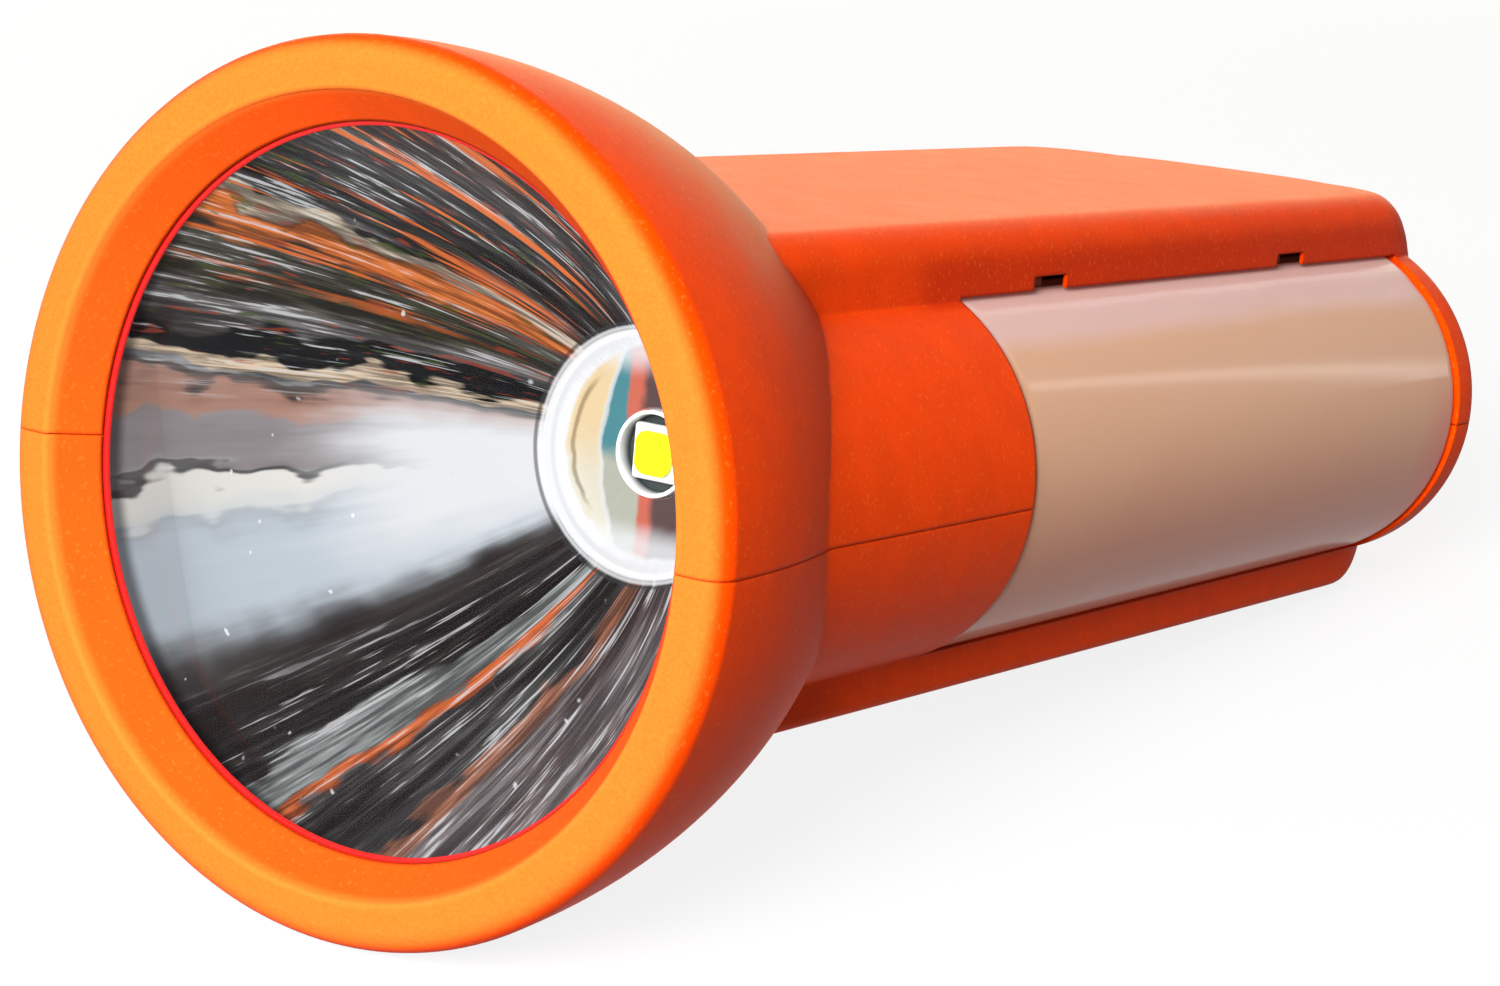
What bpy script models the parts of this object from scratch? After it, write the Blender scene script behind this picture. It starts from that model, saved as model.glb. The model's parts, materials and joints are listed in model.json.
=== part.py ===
# Orange LED searchlight with a side lantern panel, in metres, +Z up, beam towards -Y
# Modelled along its beam axis from the front face, then tipped to stand on its rim and foot
import bmesh
import bpy
from math import asin, atan2, cos, hypot, pi, radians, sin, sqrt
from mathutils import Matrix, Vector

# Clearances and walls
GAP = 0.0003
WALL = 0.0024
OVERLAP = 0.001
WELD = 0.000002
TOUCH = 0.000001

# Head
HEAD_RADIUS = 0.0505
BELL_LENGTH = 0.068
BELL_CUT = 0.006
RIM_FILLET = 0.003
RIM_WIDTH = 0.008
LIP_TAPER = 0.0015
LIP_DEPTH = 0.0056
SEAT_DEPTH = 0.0032
LEDGE_THICKNESS = 0.002
HEAD_STEPS = 64
RIM_POINTS = 5
BELL_POINTS = 11

# Lens and its gasket
GASKET_THICKNESS = 0.0008
GASKET_SHOW = 0.0005
LENS_THICKNESS = 0.0022

# Reflector, a paraboloid with the main LED at its focus
FOCAL_LENGTH = 0.0073
REFLECTOR_WALL = 0.0015
FLANGE_THICKNESS = 0.0018
DISH_RADIUS = 0.0153
DISH_FLOOR_RADIUS = 0.0092
DISH_DEPTH = 0.0022
BOWL_POINTS = 10
BOWL_STEPS = 48

# Main LED
COLLAR_WIDTH = 0.0014
PACKAGE_SIDE = 0.0064
PACKAGE_THICKNESS = 0.0016
PHOSPHOR_SIDE = 0.0046
PHOSPHOR_THICKNESS = 0.0003
BOARD_RADIUS = 0.010
BOARD_THICKNESS = 0.0016
SINK_RADIUS = 0.014
SINK_BASE = 0.004
SINK_FIN_LENGTH = 0.012
SINK_FIN = 0.0016
SINK_FINS = 7
LED_STEPS = 32
SINK_STEPS = 40

# Body
BODY_STEP = 0.0079
BOX_HALF_WIDTH = 0.0337
BOX_TOP = 0.032
BOX_EDGE = 0.0045
BOX_EDGE_STEPS = 4
CORE_DEPTH = 0.0195
BODY_REAR = 0.220
REAR_ROUND = 0.024
REAR_POINTS = 17
BULGE_RADIUS = 0.0245
BULGE_INSET = 0.0117
BULGE_HEIGHT = 0.0015
BULGE_SETBACK = 0.0155
BULGE_EDGE = 0.004
BULGE_EDGE_POINTS = 5
BULGE_STEPS = 40
FOOT_STEP = 0.0017
FOOT_DEPTH = 0.0264
FOOT_SETBACK = 0.006
FOOT_ROUND = 0.024
FOOT_POINTS = 11
FOOT_EDGE = 0.0015
FOOT_EDGE_STEPS = 2

# Side lantern
PANEL_STEP = 0.0017
PANEL_END = 0.009
PANEL_THICKNESS = 0.002
PANEL_RECESS = 0.0004
PANEL_TUCK = 0.0008
PANEL_POINTS = 25
FRONT_CLIP = 0.0215
REAR_CLIP = 0.0355
CLIP_WIDTH = 0.008
CLIP_HEIGHT = 0.0017
CLIP_SETBACK = 0.0015
TRAY_DEPTH = 0.005
TRAY_STANDOUT = 0.009
TRAY_WALL = 0.0015
LAMP_BOARD_INSET = 0.0045
LAMP_BOARD_HALF_HEIGHT = 0.0075
LAMP_LED_COUNT = 8
LAMP_LED_SIDE = 0.005
LAMP_LED_HEIGHT = 0.0016

# Battery
BATTERY_ROOM = 0.0015
BATTERY_HEIGHT = 0.042
BATTERY_TAIL = 0.016
WIRING_ROOM = 0.002
BATTERY_EDGE = 0.0015
BATTERY_EDGE_STEPS = 2
TERMINAL_WIDTH = 0.0063
TERMINAL_LENGTH = 0.0075
TERMINAL_THICKNESS = 0.0008
TERMINAL_SPACING = 0.026

# Slide switch on the far flank
SWITCH_ANGLE = radians(25)
SWITCH_PLACE = 0.126
SWITCH_TRAVEL = 0.005
KNOB_LENGTH = 0.012
KNOB_HEIGHT = 0.009
KNOB_BASE = 0.0015
KNOB_RIDGE = 0.0012
KNOB_RIDGES = 4
POCKET_DEPTH = 0.0023
SLIDER_LENGTH = 0.004
SLIDER_HEIGHT = 0.003
SLIDER_REACH = 0.0067
SWITCH_BODY_DEPTH = 0.0102
SWITCH_BODY_HEIGHT = 0.010
SWITCH_BODY_LENGTH = 0.021
CONTROL_BOARD_LENGTH = 0.060
CONTROL_BOARD_RISE = 0.006
CONTROL_BOARD_DROP = 0.013

# Charging port at the rear
PORT_HEIGHT = 0.012
PORT_HALF_WIDTH = 0.007
PORT_HALF_HEIGHT = 0.007
PORT_DEPTH = 0.0046
COVER_THICKNESS = 0.0021
KNUCKLE_RADIUS = 0.0015
PIN_RADIUS = 0.0007
PIN_SEAT = 0.0014
SOCKET_NOSE_RADIUS = 0.0039
SOCKET_BORE_RADIUS = 0.00275
SOCKET_BORE_DEPTH = 0.009
SOCKET_PIN_RADIUS = 0.001
SOCKET_BODY = (0.011, 0.0133, 0.010)
INDICATOR_RADIUS = 0.0015
INDICATOR_PLACE = 0.014
INDICATOR_LENGTH = 0.0066
PORT_STEPS = 24
PIN_STEPS = 12
KNUCKLE_STEPS = 20
INDICATOR_STEPS = 16
INDICATOR_POINTS = 5

# Case screws
FRONT_SCREW_SPREAD = 0.024
FRONT_SCREW_STEP = 0.0035
REAR_SCREW_SPREAD = 0.014
REAR_SCREW_SETBACK = 0.016
SCREW_SHANK_RADIUS = 0.0014
SCREW_HEAD_RADIUS = 0.0032
SCREW_HEAD_THICKNESS = 0.0022
SCREW_LENGTH = 0.024
SCREW_SEAT = 0.013
BOSS_WALL = 0.0018
SCREW_STEPS = 20

# Places worked out from the sizes above
MOUTH_RADIUS = HEAD_RADIUS - RIM_WIDTH
THROAT_RADIUS = MOUTH_RADIUS - LIP_TAPER
SEAT_RADIUS = THROAT_RADIUS + SEAT_DEPTH
STACK_RADIUS = SEAT_RADIUS - GAP
GASKET_FRONT = LIP_DEPTH + GAP
LENS_FRONT = GASKET_FRONT + GASKET_THICKNESS + GAP
FLANGE_FRONT = LENS_FRONT + LENS_THICKNESS + GAP
SEAT_REAR = FLANGE_FRONT + FLANGE_THICKNESS + GAP
LEDGE_REAR = SEAT_REAR + LEDGE_THICKNESS
BOWL_RADIUS = THROAT_RADIUS - GASKET_SHOW - GAP
BOWL_VERTEX = FLANGE_FRONT + BOWL_RADIUS ** 2 / (4 * FOCAL_LENGTH)
DISH_FRONT = BOWL_VERTEX - DISH_RADIUS ** 2 / (4 * FOCAL_LENGTH)
DISH_FLOOR = DISH_FRONT + DISH_DEPTH
BOWL_REAR = DISH_FLOOR + REFLECTOR_WALL
BOARD_FRONT = BOWL_REAR + GAP
PACKAGE_FRONT = BOARD_FRONT - GAP - PACKAGE_THICKNESS
PHOSPHOR_FRONT = PACKAGE_FRONT - GAP - PHOSPHOR_THICKNESS
COLLAR_INNER = PACKAGE_SIDE / sqrt(2) + GAP
LED_HOLE = COLLAR_INNER + COLLAR_WIDTH + GAP
SINK_FRONT = BOARD_FRONT + BOARD_THICKNESS + GAP
SINK_REAR = SINK_FRONT + SINK_BASE + SINK_FIN_LENGTH
BELL_REAR = BELL_LENGTH - BELL_CUT
BODY_FRONT = LEDGE_REAR + BODY_STEP
BULGE_OFFSET = BOX_HALF_WIDTH - BULGE_INSET
BULGE_REAR = BODY_REAR - BULGE_SETBACK
FOOT_HALF_WIDTH = BOX_HALF_WIDTH - FOOT_STEP
FOOT_REAR = BODY_REAR - FOOT_SETBACK
BOSS_RADIUS = SCREW_HEAD_RADIUS + GAP + BOSS_WALL
FRONT_SCREW = BOWL_REAR + FRONT_SCREW_STEP
REAR_SCREW = BODY_REAR - REAR_SCREW_SETBACK
SCREW_PLACES = ((FRONT_SCREW_SPREAD, FRONT_SCREW), (-FRONT_SCREW_SPREAD, FRONT_SCREW),
                (REAR_SCREW_SPREAD, REAR_SCREW), (-REAR_SCREW_SPREAD, REAR_SCREW))
PANEL_FRONT = FRONT_SCREW + BOSS_RADIUS + PANEL_STEP
PANEL_REAR = BULGE_REAR - PANEL_END
PANEL_RADIUS = BULGE_RADIUS - PANEL_RECESS
PANEL_INNER = PANEL_RADIUS - PANEL_THICKNESS
WINDOW_HALF = sqrt(PANEL_RADIUS ** 2 - BULGE_INSET ** 2) + PANEL_TUCK
CLIP_PLACES = (PANEL_FRONT + FRONT_CLIP, PANEL_REAR - REAR_CLIP)
FLOOR = WALL - FOOT_DEPTH
REAR_FLOOR = WALL - CORE_DEPTH
POCKET_FLOOR = BULGE_RADIUS - POCKET_DEPTH
PAD_INNER = POCKET_FLOOR - WALL
PORT_FLOOR = BODY_REAR - PORT_DEPTH
PORT_PAD = PORT_FLOOR - WALL
HINGE_Y = PORT_FLOOR + GAP + KNUCKLE_RADIUS
HINGE_Z = PORT_HEIGHT + PORT_HALF_HEIGHT - KNUCKLE_RADIUS - 2 * GAP
TRAY_FACE = BULGE_OFFSET + TRAY_STANDOUT
TRAY_BACK = TRAY_FACE - TRAY_DEPTH
TRAY_HALF = sqrt((PANEL_INNER - GAP) ** 2 - TRAY_STANDOUT ** 2)
BATTERY_HALF = TRAY_BACK - BATTERY_ROOM
BATTERY_FRONT = SINK_REAR + WIRING_ROOM + TERMINAL_LENGTH + GAP
BATTERY_REAR = REAR_SCREW - BOSS_RADIUS - BATTERY_TAIL

# The tip that brings the rim's rounded edge and the foot's rear edge onto one floor
STAND_RUN = FOOT_REAR - FOOT_EDGE - RIM_FILLET
STAND_DROP = HEAD_RADIUS - RIM_FILLET - FOOT_DEPTH
STAND_TILT = atan2(STAND_DROP, STAND_RUN) + asin(RIM_FILLET / hypot(STAND_RUN, STAND_DROP))

# Frame of the slide switch: local X points out of the far bulge, local Y along the body
SWITCH_FRAME = (Matrix.Translation((-BULGE_OFFSET, SWITCH_PLACE, BULGE_HEIGHT))
                @ Matrix.Rotation(pi + SWITCH_ANGLE, 4, "Y"))

ORANGE = (0.90, 0.20, 0.01)
WHITE = (0.85, 0.85, 0.82)
GREEN = (0.02, 0.16, 0.07)
BLACK = (0.02, 0.02, 0.02)
STEEL = (0.60, 0.60, 0.60)


# Mesh helpers
def make_object(name, bm):
    """Turn a bmesh into a named object with outward faces."""
    bmesh.ops.remove_doubles(bm, verts=bm.verts, dist=TOUCH)
    bmesh.ops.recalc_face_normals(bm, faces=bm.faces)
    mesh = bpy.data.meshes.new(name)
    bm.to_mesh(mesh)
    bm.free()
    made = bpy.data.objects.new(name, mesh)
    bpy.context.scene.collection.objects.link(made)
    return made


def revolve(name, profile, steps, centre=(0, 0, 0), axis=(0, 1, 0)):
    """Spin a closed (along axis, radius) profile round an axis parallel to Y or Z."""
    bm = bmesh.new()
    along_z = axis[2] == 1
    verts = []
    for along, radius in profile:
        place = Vector((radius, 0, along)) if along_z else Vector((radius, along, 0))
        verts.append(bm.verts.new(place + Vector(centre)))
    edges = [bm.edges.new((verts[i - 1], verts[i])) for i in range(len(verts))
             if profile[i - 1][1] > 0 or profile[i][1] > 0]
    bmesh.ops.spin(bm, geom=verts + edges, cent=centre, axis=axis, steps=steps, angle=2 * pi, use_merge=True)
    return make_object(name, bm)


def cylinder(name, start, end, radius, steps, centre=(0, 0, 0), axis=(0, 1, 0)):
    """Round bar between two places along its axis."""
    profile = ((start, 0), (start, radius), (end, radius), (end, 0))
    return revolve(name, profile, steps, centre, axis)


def prism(name, outline, low, high, plane="XY"):
    """Extrude a closed outline in XY along Z, or in XZ along Y."""
    bm = bmesh.new()
    if plane == "XY":
        verts = [bm.verts.new((a, b, low)) for a, b in outline]
        rise = (0, 0, high - low)
    else:
        verts = [bm.verts.new((a, low, b)) for a, b in outline]
        rise = (0, high - low, 0)
    face = bm.faces.new(verts)
    grown = bmesh.ops.extrude_face_region(bm, geom=[face])["geom"]
    bmesh.ops.translate(bm, vec=rise, verts=[v for v in grown if isinstance(v, bmesh.types.BMVert)])
    return make_object(name, bm)


def block(name, low, high, frame=None):
    """Box between two corners, in its own frame if one is given."""
    bm = bmesh.new()
    bmesh.ops.create_cube(bm, size=1)
    low = Vector(low)
    high = Vector(high)
    place = Matrix.Translation((low + high) / 2) @ Matrix.Diagonal((*(high - low), 1))
    bmesh.ops.transform(bm, matrix=(frame or Matrix()) @ place, verts=bm.verts)
    return make_object(name, bm)


def bevel_edges(made, width, segments, chosen):
    """Round the edges whose two ends pass a test."""
    bm = bmesh.new()
    bm.from_mesh(made.data)
    edges = [e for e in bm.edges if all(chosen(v.co) for v in e.verts)]
    bmesh.ops.bevel(bm, geom=edges, offset=width, segments=segments, affect="EDGES", profile=0.5)
    bm.to_mesh(made.data)
    bm.free()


def combine(base, operation, *tools):
    """Cut, join or intersect a base with tools one by one, which are used up."""
    for tool in tools:
        step = base.modifiers.new(tool.name, "BOOLEAN")
        step.operation = operation
        step.object = tool
        mesh = bpy.data.meshes.new_from_object(base.evaluated_get(bpy.context.evaluated_depsgraph_get()))
        base.modifiers.clear()
        bm = bmesh.new()
        bm.from_mesh(mesh)
        bmesh.ops.remove_doubles(bm, verts=bm.verts, dist=WELD)
        bm.to_mesh(mesh)
        bm.free()
        base.data = mesh
        bpy.data.objects.remove(tool)
    return base


def arc(centre, radius, start, end, points):
    """Points along a circular arc, from one angle to another."""
    steps = [start + (end - start) * i / (points - 1) for i in range(points)]
    return [(centre[0] + radius * cos(a), centre[1] + radius * sin(a)) for a in steps]


# Materials and placing
def finish(made, torch, colour, roughness, metallic=0.0, smooth=True):
    """Give a piece its material, smooth shading and parent."""
    made.data.materials.clear()
    material = bpy.data.materials.new(made.name)
    material.use_nodes = True
    shader = material.node_tree.nodes["Principled BSDF"]
    shader.inputs["Base Color"].default_value = (*colour, 1)
    shader.inputs["Roughness"].default_value = roughness
    shader.inputs["Metallic"].default_value = metallic
    made.data.materials.append(material)
    if smooth:
        made.data.shade_smooth()
        made.data.set_sharp_from_angle(angle=radians(35))
    made.parent = torch
    return made


def hang_on(made, pivot):
    """Move a piece's origin to its joint without moving its shape."""
    made.data.transform(Matrix.Translation(-Vector(pivot)))
    made.location = pivot


# Housing
def bell_profile(inset, start, end):
    """Elliptical flare of the head, from front to rear."""
    length = BELL_LENGTH - inset
    radius = HEAD_RADIUS - inset
    steps = [start + (end - start) * i / (BELL_POINTS - 1) for i in range(BELL_POINTS)]
    return [(y, radius * sqrt(1 - (y / length) ** 2)) for y in steps]


def d_outline(half_width, front, rear, rounding, points):
    """Plan with straight flanks and an elliptical rear end."""
    end = arc((0, 0), 1, 0, pi, points)
    return ([(-half_width, front), (half_width, front)]
            + [(half_width * a, rear - rounding + rounding * b) for a, b in end])


def bulge(name, side, inset):
    """Round flank with a rounded rear end."""
    radius = BULGE_RADIUS - inset
    rear = BULGE_REAR - inset
    corner = arc((rear - BULGE_EDGE, radius - BULGE_EDGE), BULGE_EDGE, pi / 2, 0, BULGE_EDGE_POINTS)
    front = BODY_FRONT + inset + 2 * OVERLAP
    profile = [(front, 0), (front, radius)] + corner + [(rear, 0)]
    return revolve(name, profile, BULGE_STEPS, (side * BULGE_OFFSET, 0, BULGE_HEIGHT))


def body_forms(inset):
    """Core with its box top, both flanks and the foot, grown inwards by the inset."""
    half = BOX_HALF_WIDTH - inset
    top = BOX_TOP - inset
    front = BODY_FRONT + inset
    plan = d_outline(half, front, BODY_REAR - inset, REAR_ROUND - inset, REAR_POINTS)
    core = prism("core", plan, inset - CORE_DEPTH, top)
    bevel_edges(core, BOX_EDGE - inset, BOX_EDGE_STEPS, lambda v: v.z > top - TOUCH and v.y > front - TOUCH)
    plan = d_outline(FOOT_HALF_WIDTH - inset, front + OVERLAP, FOOT_REAR - inset, FOOT_ROUND - inset,
                     FOOT_POINTS)
    foot = prism("foot", plan, inset - FOOT_DEPTH, BULGE_HEIGHT - BULGE_RADIUS / 2)
    if not inset:
        bevel_edges(foot, FOOT_EDGE, FOOT_EDGE_STEPS, lambda v: v.z < TOUCH - FOOT_DEPTH)
    return [core, foot, bulge("near", 1, inset), bulge("far", -1, inset)]


def housing():
    """Whole outer skin less its hollow, before it is parted."""
    rim = arc((RIM_FILLET, HEAD_RADIUS - RIM_FILLET), RIM_FILLET, pi, pi / 2, RIM_POINTS)
    flare = bell_profile(0, 2 * RIM_FILLET, BELL_REAR)
    skin = revolve("skin", [(0, 0)] + rim + flare + [(BELL_REAR, 0)], HEAD_STEPS)
    combine(skin, "UNION", *body_forms(0))
    mouth_slope = (MOUTH_RADIUS - THROAT_RADIUS) / LIP_DEPTH
    stack = [(-OVERLAP, 0), (-OVERLAP, MOUTH_RADIUS + OVERLAP * mouth_slope), (LIP_DEPTH, THROAT_RADIUS),
             (LIP_DEPTH, SEAT_RADIUS), (SEAT_REAR, SEAT_RADIUS), (SEAT_REAR, THROAT_RADIUS + OVERLAP),
             (LEDGE_REAR, THROAT_RADIUS + OVERLAP)]
    hollow = revolve("hollow", stack + bell_profile(WALL, LEDGE_REAR, BELL_REAR) + [(BELL_REAR, 0)], HEAD_STEPS)
    combine(hollow, "UNION", *body_forms(WALL))
    return combine(skin, "DIFFERENCE", hollow)


def half_space(name, upper):
    """Everything on one side of the parting plane, with half the parting gap."""
    reach = 2 * BODY_REAR
    low, high = (-reach, GAP / 2) if upper else (-GAP / 2, reach)
    return block(name, (-reach, -reach, low), (reach, reach, high))


def boss(name, place, low, high, radius):
    """Upright pillar for a case screw."""
    return cylinder(name, low, high, radius, SCREW_STEPS, (place[0], place[1], 0), (0, 0, 1))


def lantern_window():
    """Opening in the near flank for the lantern panel."""
    panel_edge = sqrt(PANEL_INNER ** 2 - (WINDOW_HALF - GAP) ** 2)
    return block("window", (BULGE_OFFSET + panel_edge - GAP, PANEL_FRONT, BULGE_HEIGHT - WINDOW_HALF),
                 (2 * BOX_HALF_WIDTH, PANEL_REAR, BULGE_HEIGHT + WINDOW_HALF))


def switch_cuts():
    """Pocket and slot that the slide switch runs in."""
    run = KNOB_LENGTH / 2 + SWITCH_TRAVEL + GAP
    rise = KNOB_HEIGHT / 2 + GAP
    pocket = block("pocket", (POCKET_FLOOR, -run, -rise), (2 * BULGE_RADIUS, run, rise), SWITCH_FRAME)
    run = SLIDER_LENGTH / 2 + SWITCH_TRAVEL + GAP
    rise = SLIDER_HEIGHT / 2 + GAP
    slot = block("slot", (PAD_INNER - OVERLAP, -run, -rise), (BULGE_RADIUS, run, rise), SWITCH_FRAME)
    return pocket, slot


def port_cuts():
    """Pocket for the port's cover, the socket's hole, the hinge pin's seat and the indicator's hole."""
    pocket = block("pocket", (-PORT_HALF_WIDTH, PORT_FLOOR, PORT_HEIGHT - PORT_HALF_HEIGHT),
                   (PORT_HALF_WIDTH, 2 * BODY_REAR, PORT_HEIGHT + PORT_HALF_HEIGHT))
    hole = cylinder("hole", PORT_PAD - OVERLAP, BODY_REAR, SOCKET_NOSE_RADIUS + GAP, PORT_STEPS,
                    (0, 0, PORT_HEIGHT))
    reach = PORT_HALF_WIDTH + PIN_SEAT + GAP
    seat = cylinder("seat", -reach, reach, PIN_RADIUS + GAP, PIN_STEPS)
    seat.data.transform(Matrix.Translation((0, HINGE_Y, HINGE_Z)) @ Matrix.Rotation(-pi / 2, 4, "Z"))
    light = cylinder("light", PORT_PAD - OVERLAP, 2 * BODY_REAR, INDICATOR_RADIUS + GAP, INDICATOR_STEPS,
                     (INDICATOR_PLACE, 0, PORT_HEIGHT))
    return pocket, hole, seat, light


def upper_shell(shell, torch):
    """Upper half: box top, switch pad, port pad, screw pillars and snap windows."""
    made = make_copy(shell, "upper_shell")
    combine(made, "DIFFERENCE", half_space("below", True))
    run = KNOB_LENGTH / 2 + SWITCH_TRAVEL + WALL
    rise = KNOB_HEIGHT / 2 + WALL
    pad = block("pad", (PAD_INNER, -run, -rise), (BULGE_RADIUS, run, rise), SWITCH_FRAME)
    combine(pad, "INTERSECT", bulge("far", -1, WALL / 2))
    reach = PORT_HALF_WIDTH + WALL
    port_pad = block("port_pad", (-reach, PORT_PAD, PORT_HEIGHT - PORT_HALF_HEIGHT - WALL),
                     (reach, PORT_FLOOR + WALL, PORT_HEIGHT + PORT_HALF_HEIGHT + WALL))
    pillars = [boss("pillar", place, GAP / 2, BOX_TOP - WALL / 2, SCREW_SHANK_RADIUS + GAP + BOSS_WALL)
               for place in SCREW_PLACES]
    combine(made, "UNION", pad, port_pad, *pillars)
    tip = SCREW_LENGTH - SCREW_SEAT
    pilots = [boss("pilot", place, -OVERLAP, tip + OVERLAP, SCREW_SHANK_RADIUS + GAP) for place in SCREW_PLACES]
    top = BULGE_HEIGHT + WINDOW_HALF
    clips = [block("clip", (BOX_HALF_WIDTH - 2 * WALL, y - CLIP_WIDTH / 2, top - OVERLAP),
                   (2 * BOX_HALF_WIDTH, y + CLIP_WIDTH / 2, top + CLIP_HEIGHT)) for y in CLIP_PLACES]
    combine(made, "DIFFERENCE", lantern_window(), *clips, *switch_cuts(), *port_cuts(), *pilots)
    return finish(made, torch, ORANGE, 0.42)


def lower_shell(shell, torch):
    """Lower half: foot and the counterbored screw pillars."""
    made = make_copy(shell, "lower_shell")
    combine(made, "DIFFERENCE", half_space("above", False))
    pillars = []
    cuts = [lantern_window()]
    for place in SCREW_PLACES:
        floor = FLOOR if place[1] < FOOT_REAR else REAR_FLOOR
        pillars.append(boss("pillar", place, floor - WALL / 2, -GAP / 2, BOSS_RADIUS))
        bore = ((-2 * FOOT_DEPTH, 0), (-2 * FOOT_DEPTH, SCREW_HEAD_RADIUS + GAP),
                (-SCREW_SEAT, SCREW_HEAD_RADIUS + GAP), (-SCREW_SEAT, SCREW_SHANK_RADIUS + GAP),
                (OVERLAP, SCREW_SHANK_RADIUS + GAP), (OVERLAP, 0))
        cuts.append(revolve("bore", bore, SCREW_STEPS, (*place, 0), (0, 0, 1)))
    combine(made, "UNION", *pillars)
    combine(made, "DIFFERENCE", *cuts)
    return finish(made, torch, ORANGE, 0.42)


def make_copy(source, name):
    """Separate object with its own copy of a mesh."""
    made = bpy.data.objects.new(name, source.data.copy())
    bpy.context.scene.collection.objects.link(made)
    return made


def case_screws(torch):
    """Four screws, driven up from below."""
    seat = -SCREW_SEAT - GAP
    for index, place in enumerate(SCREW_PLACES, 1):
        head = seat - SCREW_HEAD_THICKNESS
        profile = ((head, 0), (head, SCREW_HEAD_RADIUS), (seat, SCREW_HEAD_RADIUS), (seat, SCREW_SHANK_RADIUS),
                   (seat + SCREW_LENGTH, SCREW_SHANK_RADIUS), (seat + SCREW_LENGTH, 0))
        made = revolve(f"case_screw_{index}", profile, SCREW_STEPS, (*place, 0), (0, 0, 1))
        finish(made, torch, STEEL, 0.3, 1.0)


# Main light
def lens_and_gasket(torch):
    """Clear front disc and the red ring it presses against the lip."""
    inner = THROAT_RADIUS - GASKET_SHOW
    rear = GASKET_FRONT + GASKET_THICKNESS
    ring = ((GASKET_FRONT, inner), (GASKET_FRONT, STACK_RADIUS), (rear, STACK_RADIUS), (rear, inner))
    finish(revolve("lens_gasket", ring, HEAD_STEPS), torch, (0.60, 0.02, 0.02), 0.6)
    lens = cylinder("lens", LENS_FRONT, LENS_FRONT + LENS_THICKNESS, STACK_RADIUS, HEAD_STEPS)
    finish(lens, torch, (0.95, 0.97, 0.98), 0.05)


def reflector(torch):
    """Parabolic mirror with a flange at the front and a dish for the LED at the bottom."""
    radii = [BOWL_RADIUS + (DISH_RADIUS - BOWL_RADIUS) * i / (BOWL_POINTS - 1) for i in range(BOWL_POINTS)]
    mirror = [(BOWL_VERTEX - r ** 2 / (4 * FOCAL_LENGTH), r) for r in radii]
    flange_rear = FLANGE_FRONT + FLANGE_THICKNESS
    back = [(y, r + REFLECTOR_WALL) for y, r in mirror if y > flange_rear]
    join = (flange_rear, sqrt(4 * FOCAL_LENGTH * (BOWL_VERTEX - flange_rear)) + REFLECTOR_WALL)
    profile = (mirror + [(DISH_FLOOR, DISH_FLOOR_RADIUS), (DISH_FLOOR, LED_HOLE), (BOWL_REAR, LED_HOLE),
                         (BOWL_REAR, DISH_FLOOR_RADIUS + REFLECTOR_WALL)]
               + back[::-1] + [join, (flange_rear, STACK_RADIUS), (FLANGE_FRONT, STACK_RADIUS)])
    finish(revolve("reflector", profile, BOWL_STEPS), torch, (0.92, 0.92, 0.93), 0.03, 1.0)


def main_led(torch):
    """Collar, package, phosphor, board and finned heat sink on the beam axis."""
    outer = COLLAR_INNER + COLLAR_WIDTH
    ring = ((DISH_FLOOR - OVERLAP, COLLAR_INNER), (DISH_FLOOR - OVERLAP, outer), (BOWL_REAR, outer),
            (BOWL_REAR, COLLAR_INNER))
    finish(revolve("led_collar", ring, LED_STEPS), torch, WHITE, 0.4)
    for name, side, front, thickness, colour in (
            ("led_package", PACKAGE_SIDE, PACKAGE_FRONT, PACKAGE_THICKNESS, WHITE),
            ("led_phosphor", PHOSPHOR_SIDE, PHOSPHOR_FRONT, PHOSPHOR_THICKNESS, (0.75, 0.85, 0.05))):
        chip = block(name, (-side / 2, front, -side / 2), (side / 2, front + thickness, side / 2))
        finish(chip, torch, colour, 0.5, smooth=False)
    board = cylinder("led_board", BOARD_FRONT, BOARD_FRONT + BOARD_THICKNESS, BOARD_RADIUS, LED_STEPS)
    finish(board, torch, WHITE, 0.4)
    sink = cylinder("heat_sink", SINK_FRONT, SINK_REAR, SINK_RADIUS, SINK_STEPS)
    pitch = (2 * SINK_RADIUS - SINK_FIN) / (SINK_FINS - 1)
    slots = []
    for i in range(SINK_FINS - 1):
        low = -SINK_RADIUS + SINK_FIN + i * pitch
        slots.append(block("slot", (low, SINK_FRONT + SINK_BASE, -2 * SINK_RADIUS),
                           (low + pitch - SINK_FIN, 2 * SINK_REAR, 2 * SINK_RADIUS)))
    combine(sink, "DIFFERENCE", *slots)
    finish(sink, torch, (0.70, 0.70, 0.72), 0.35, 1.0)


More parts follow.
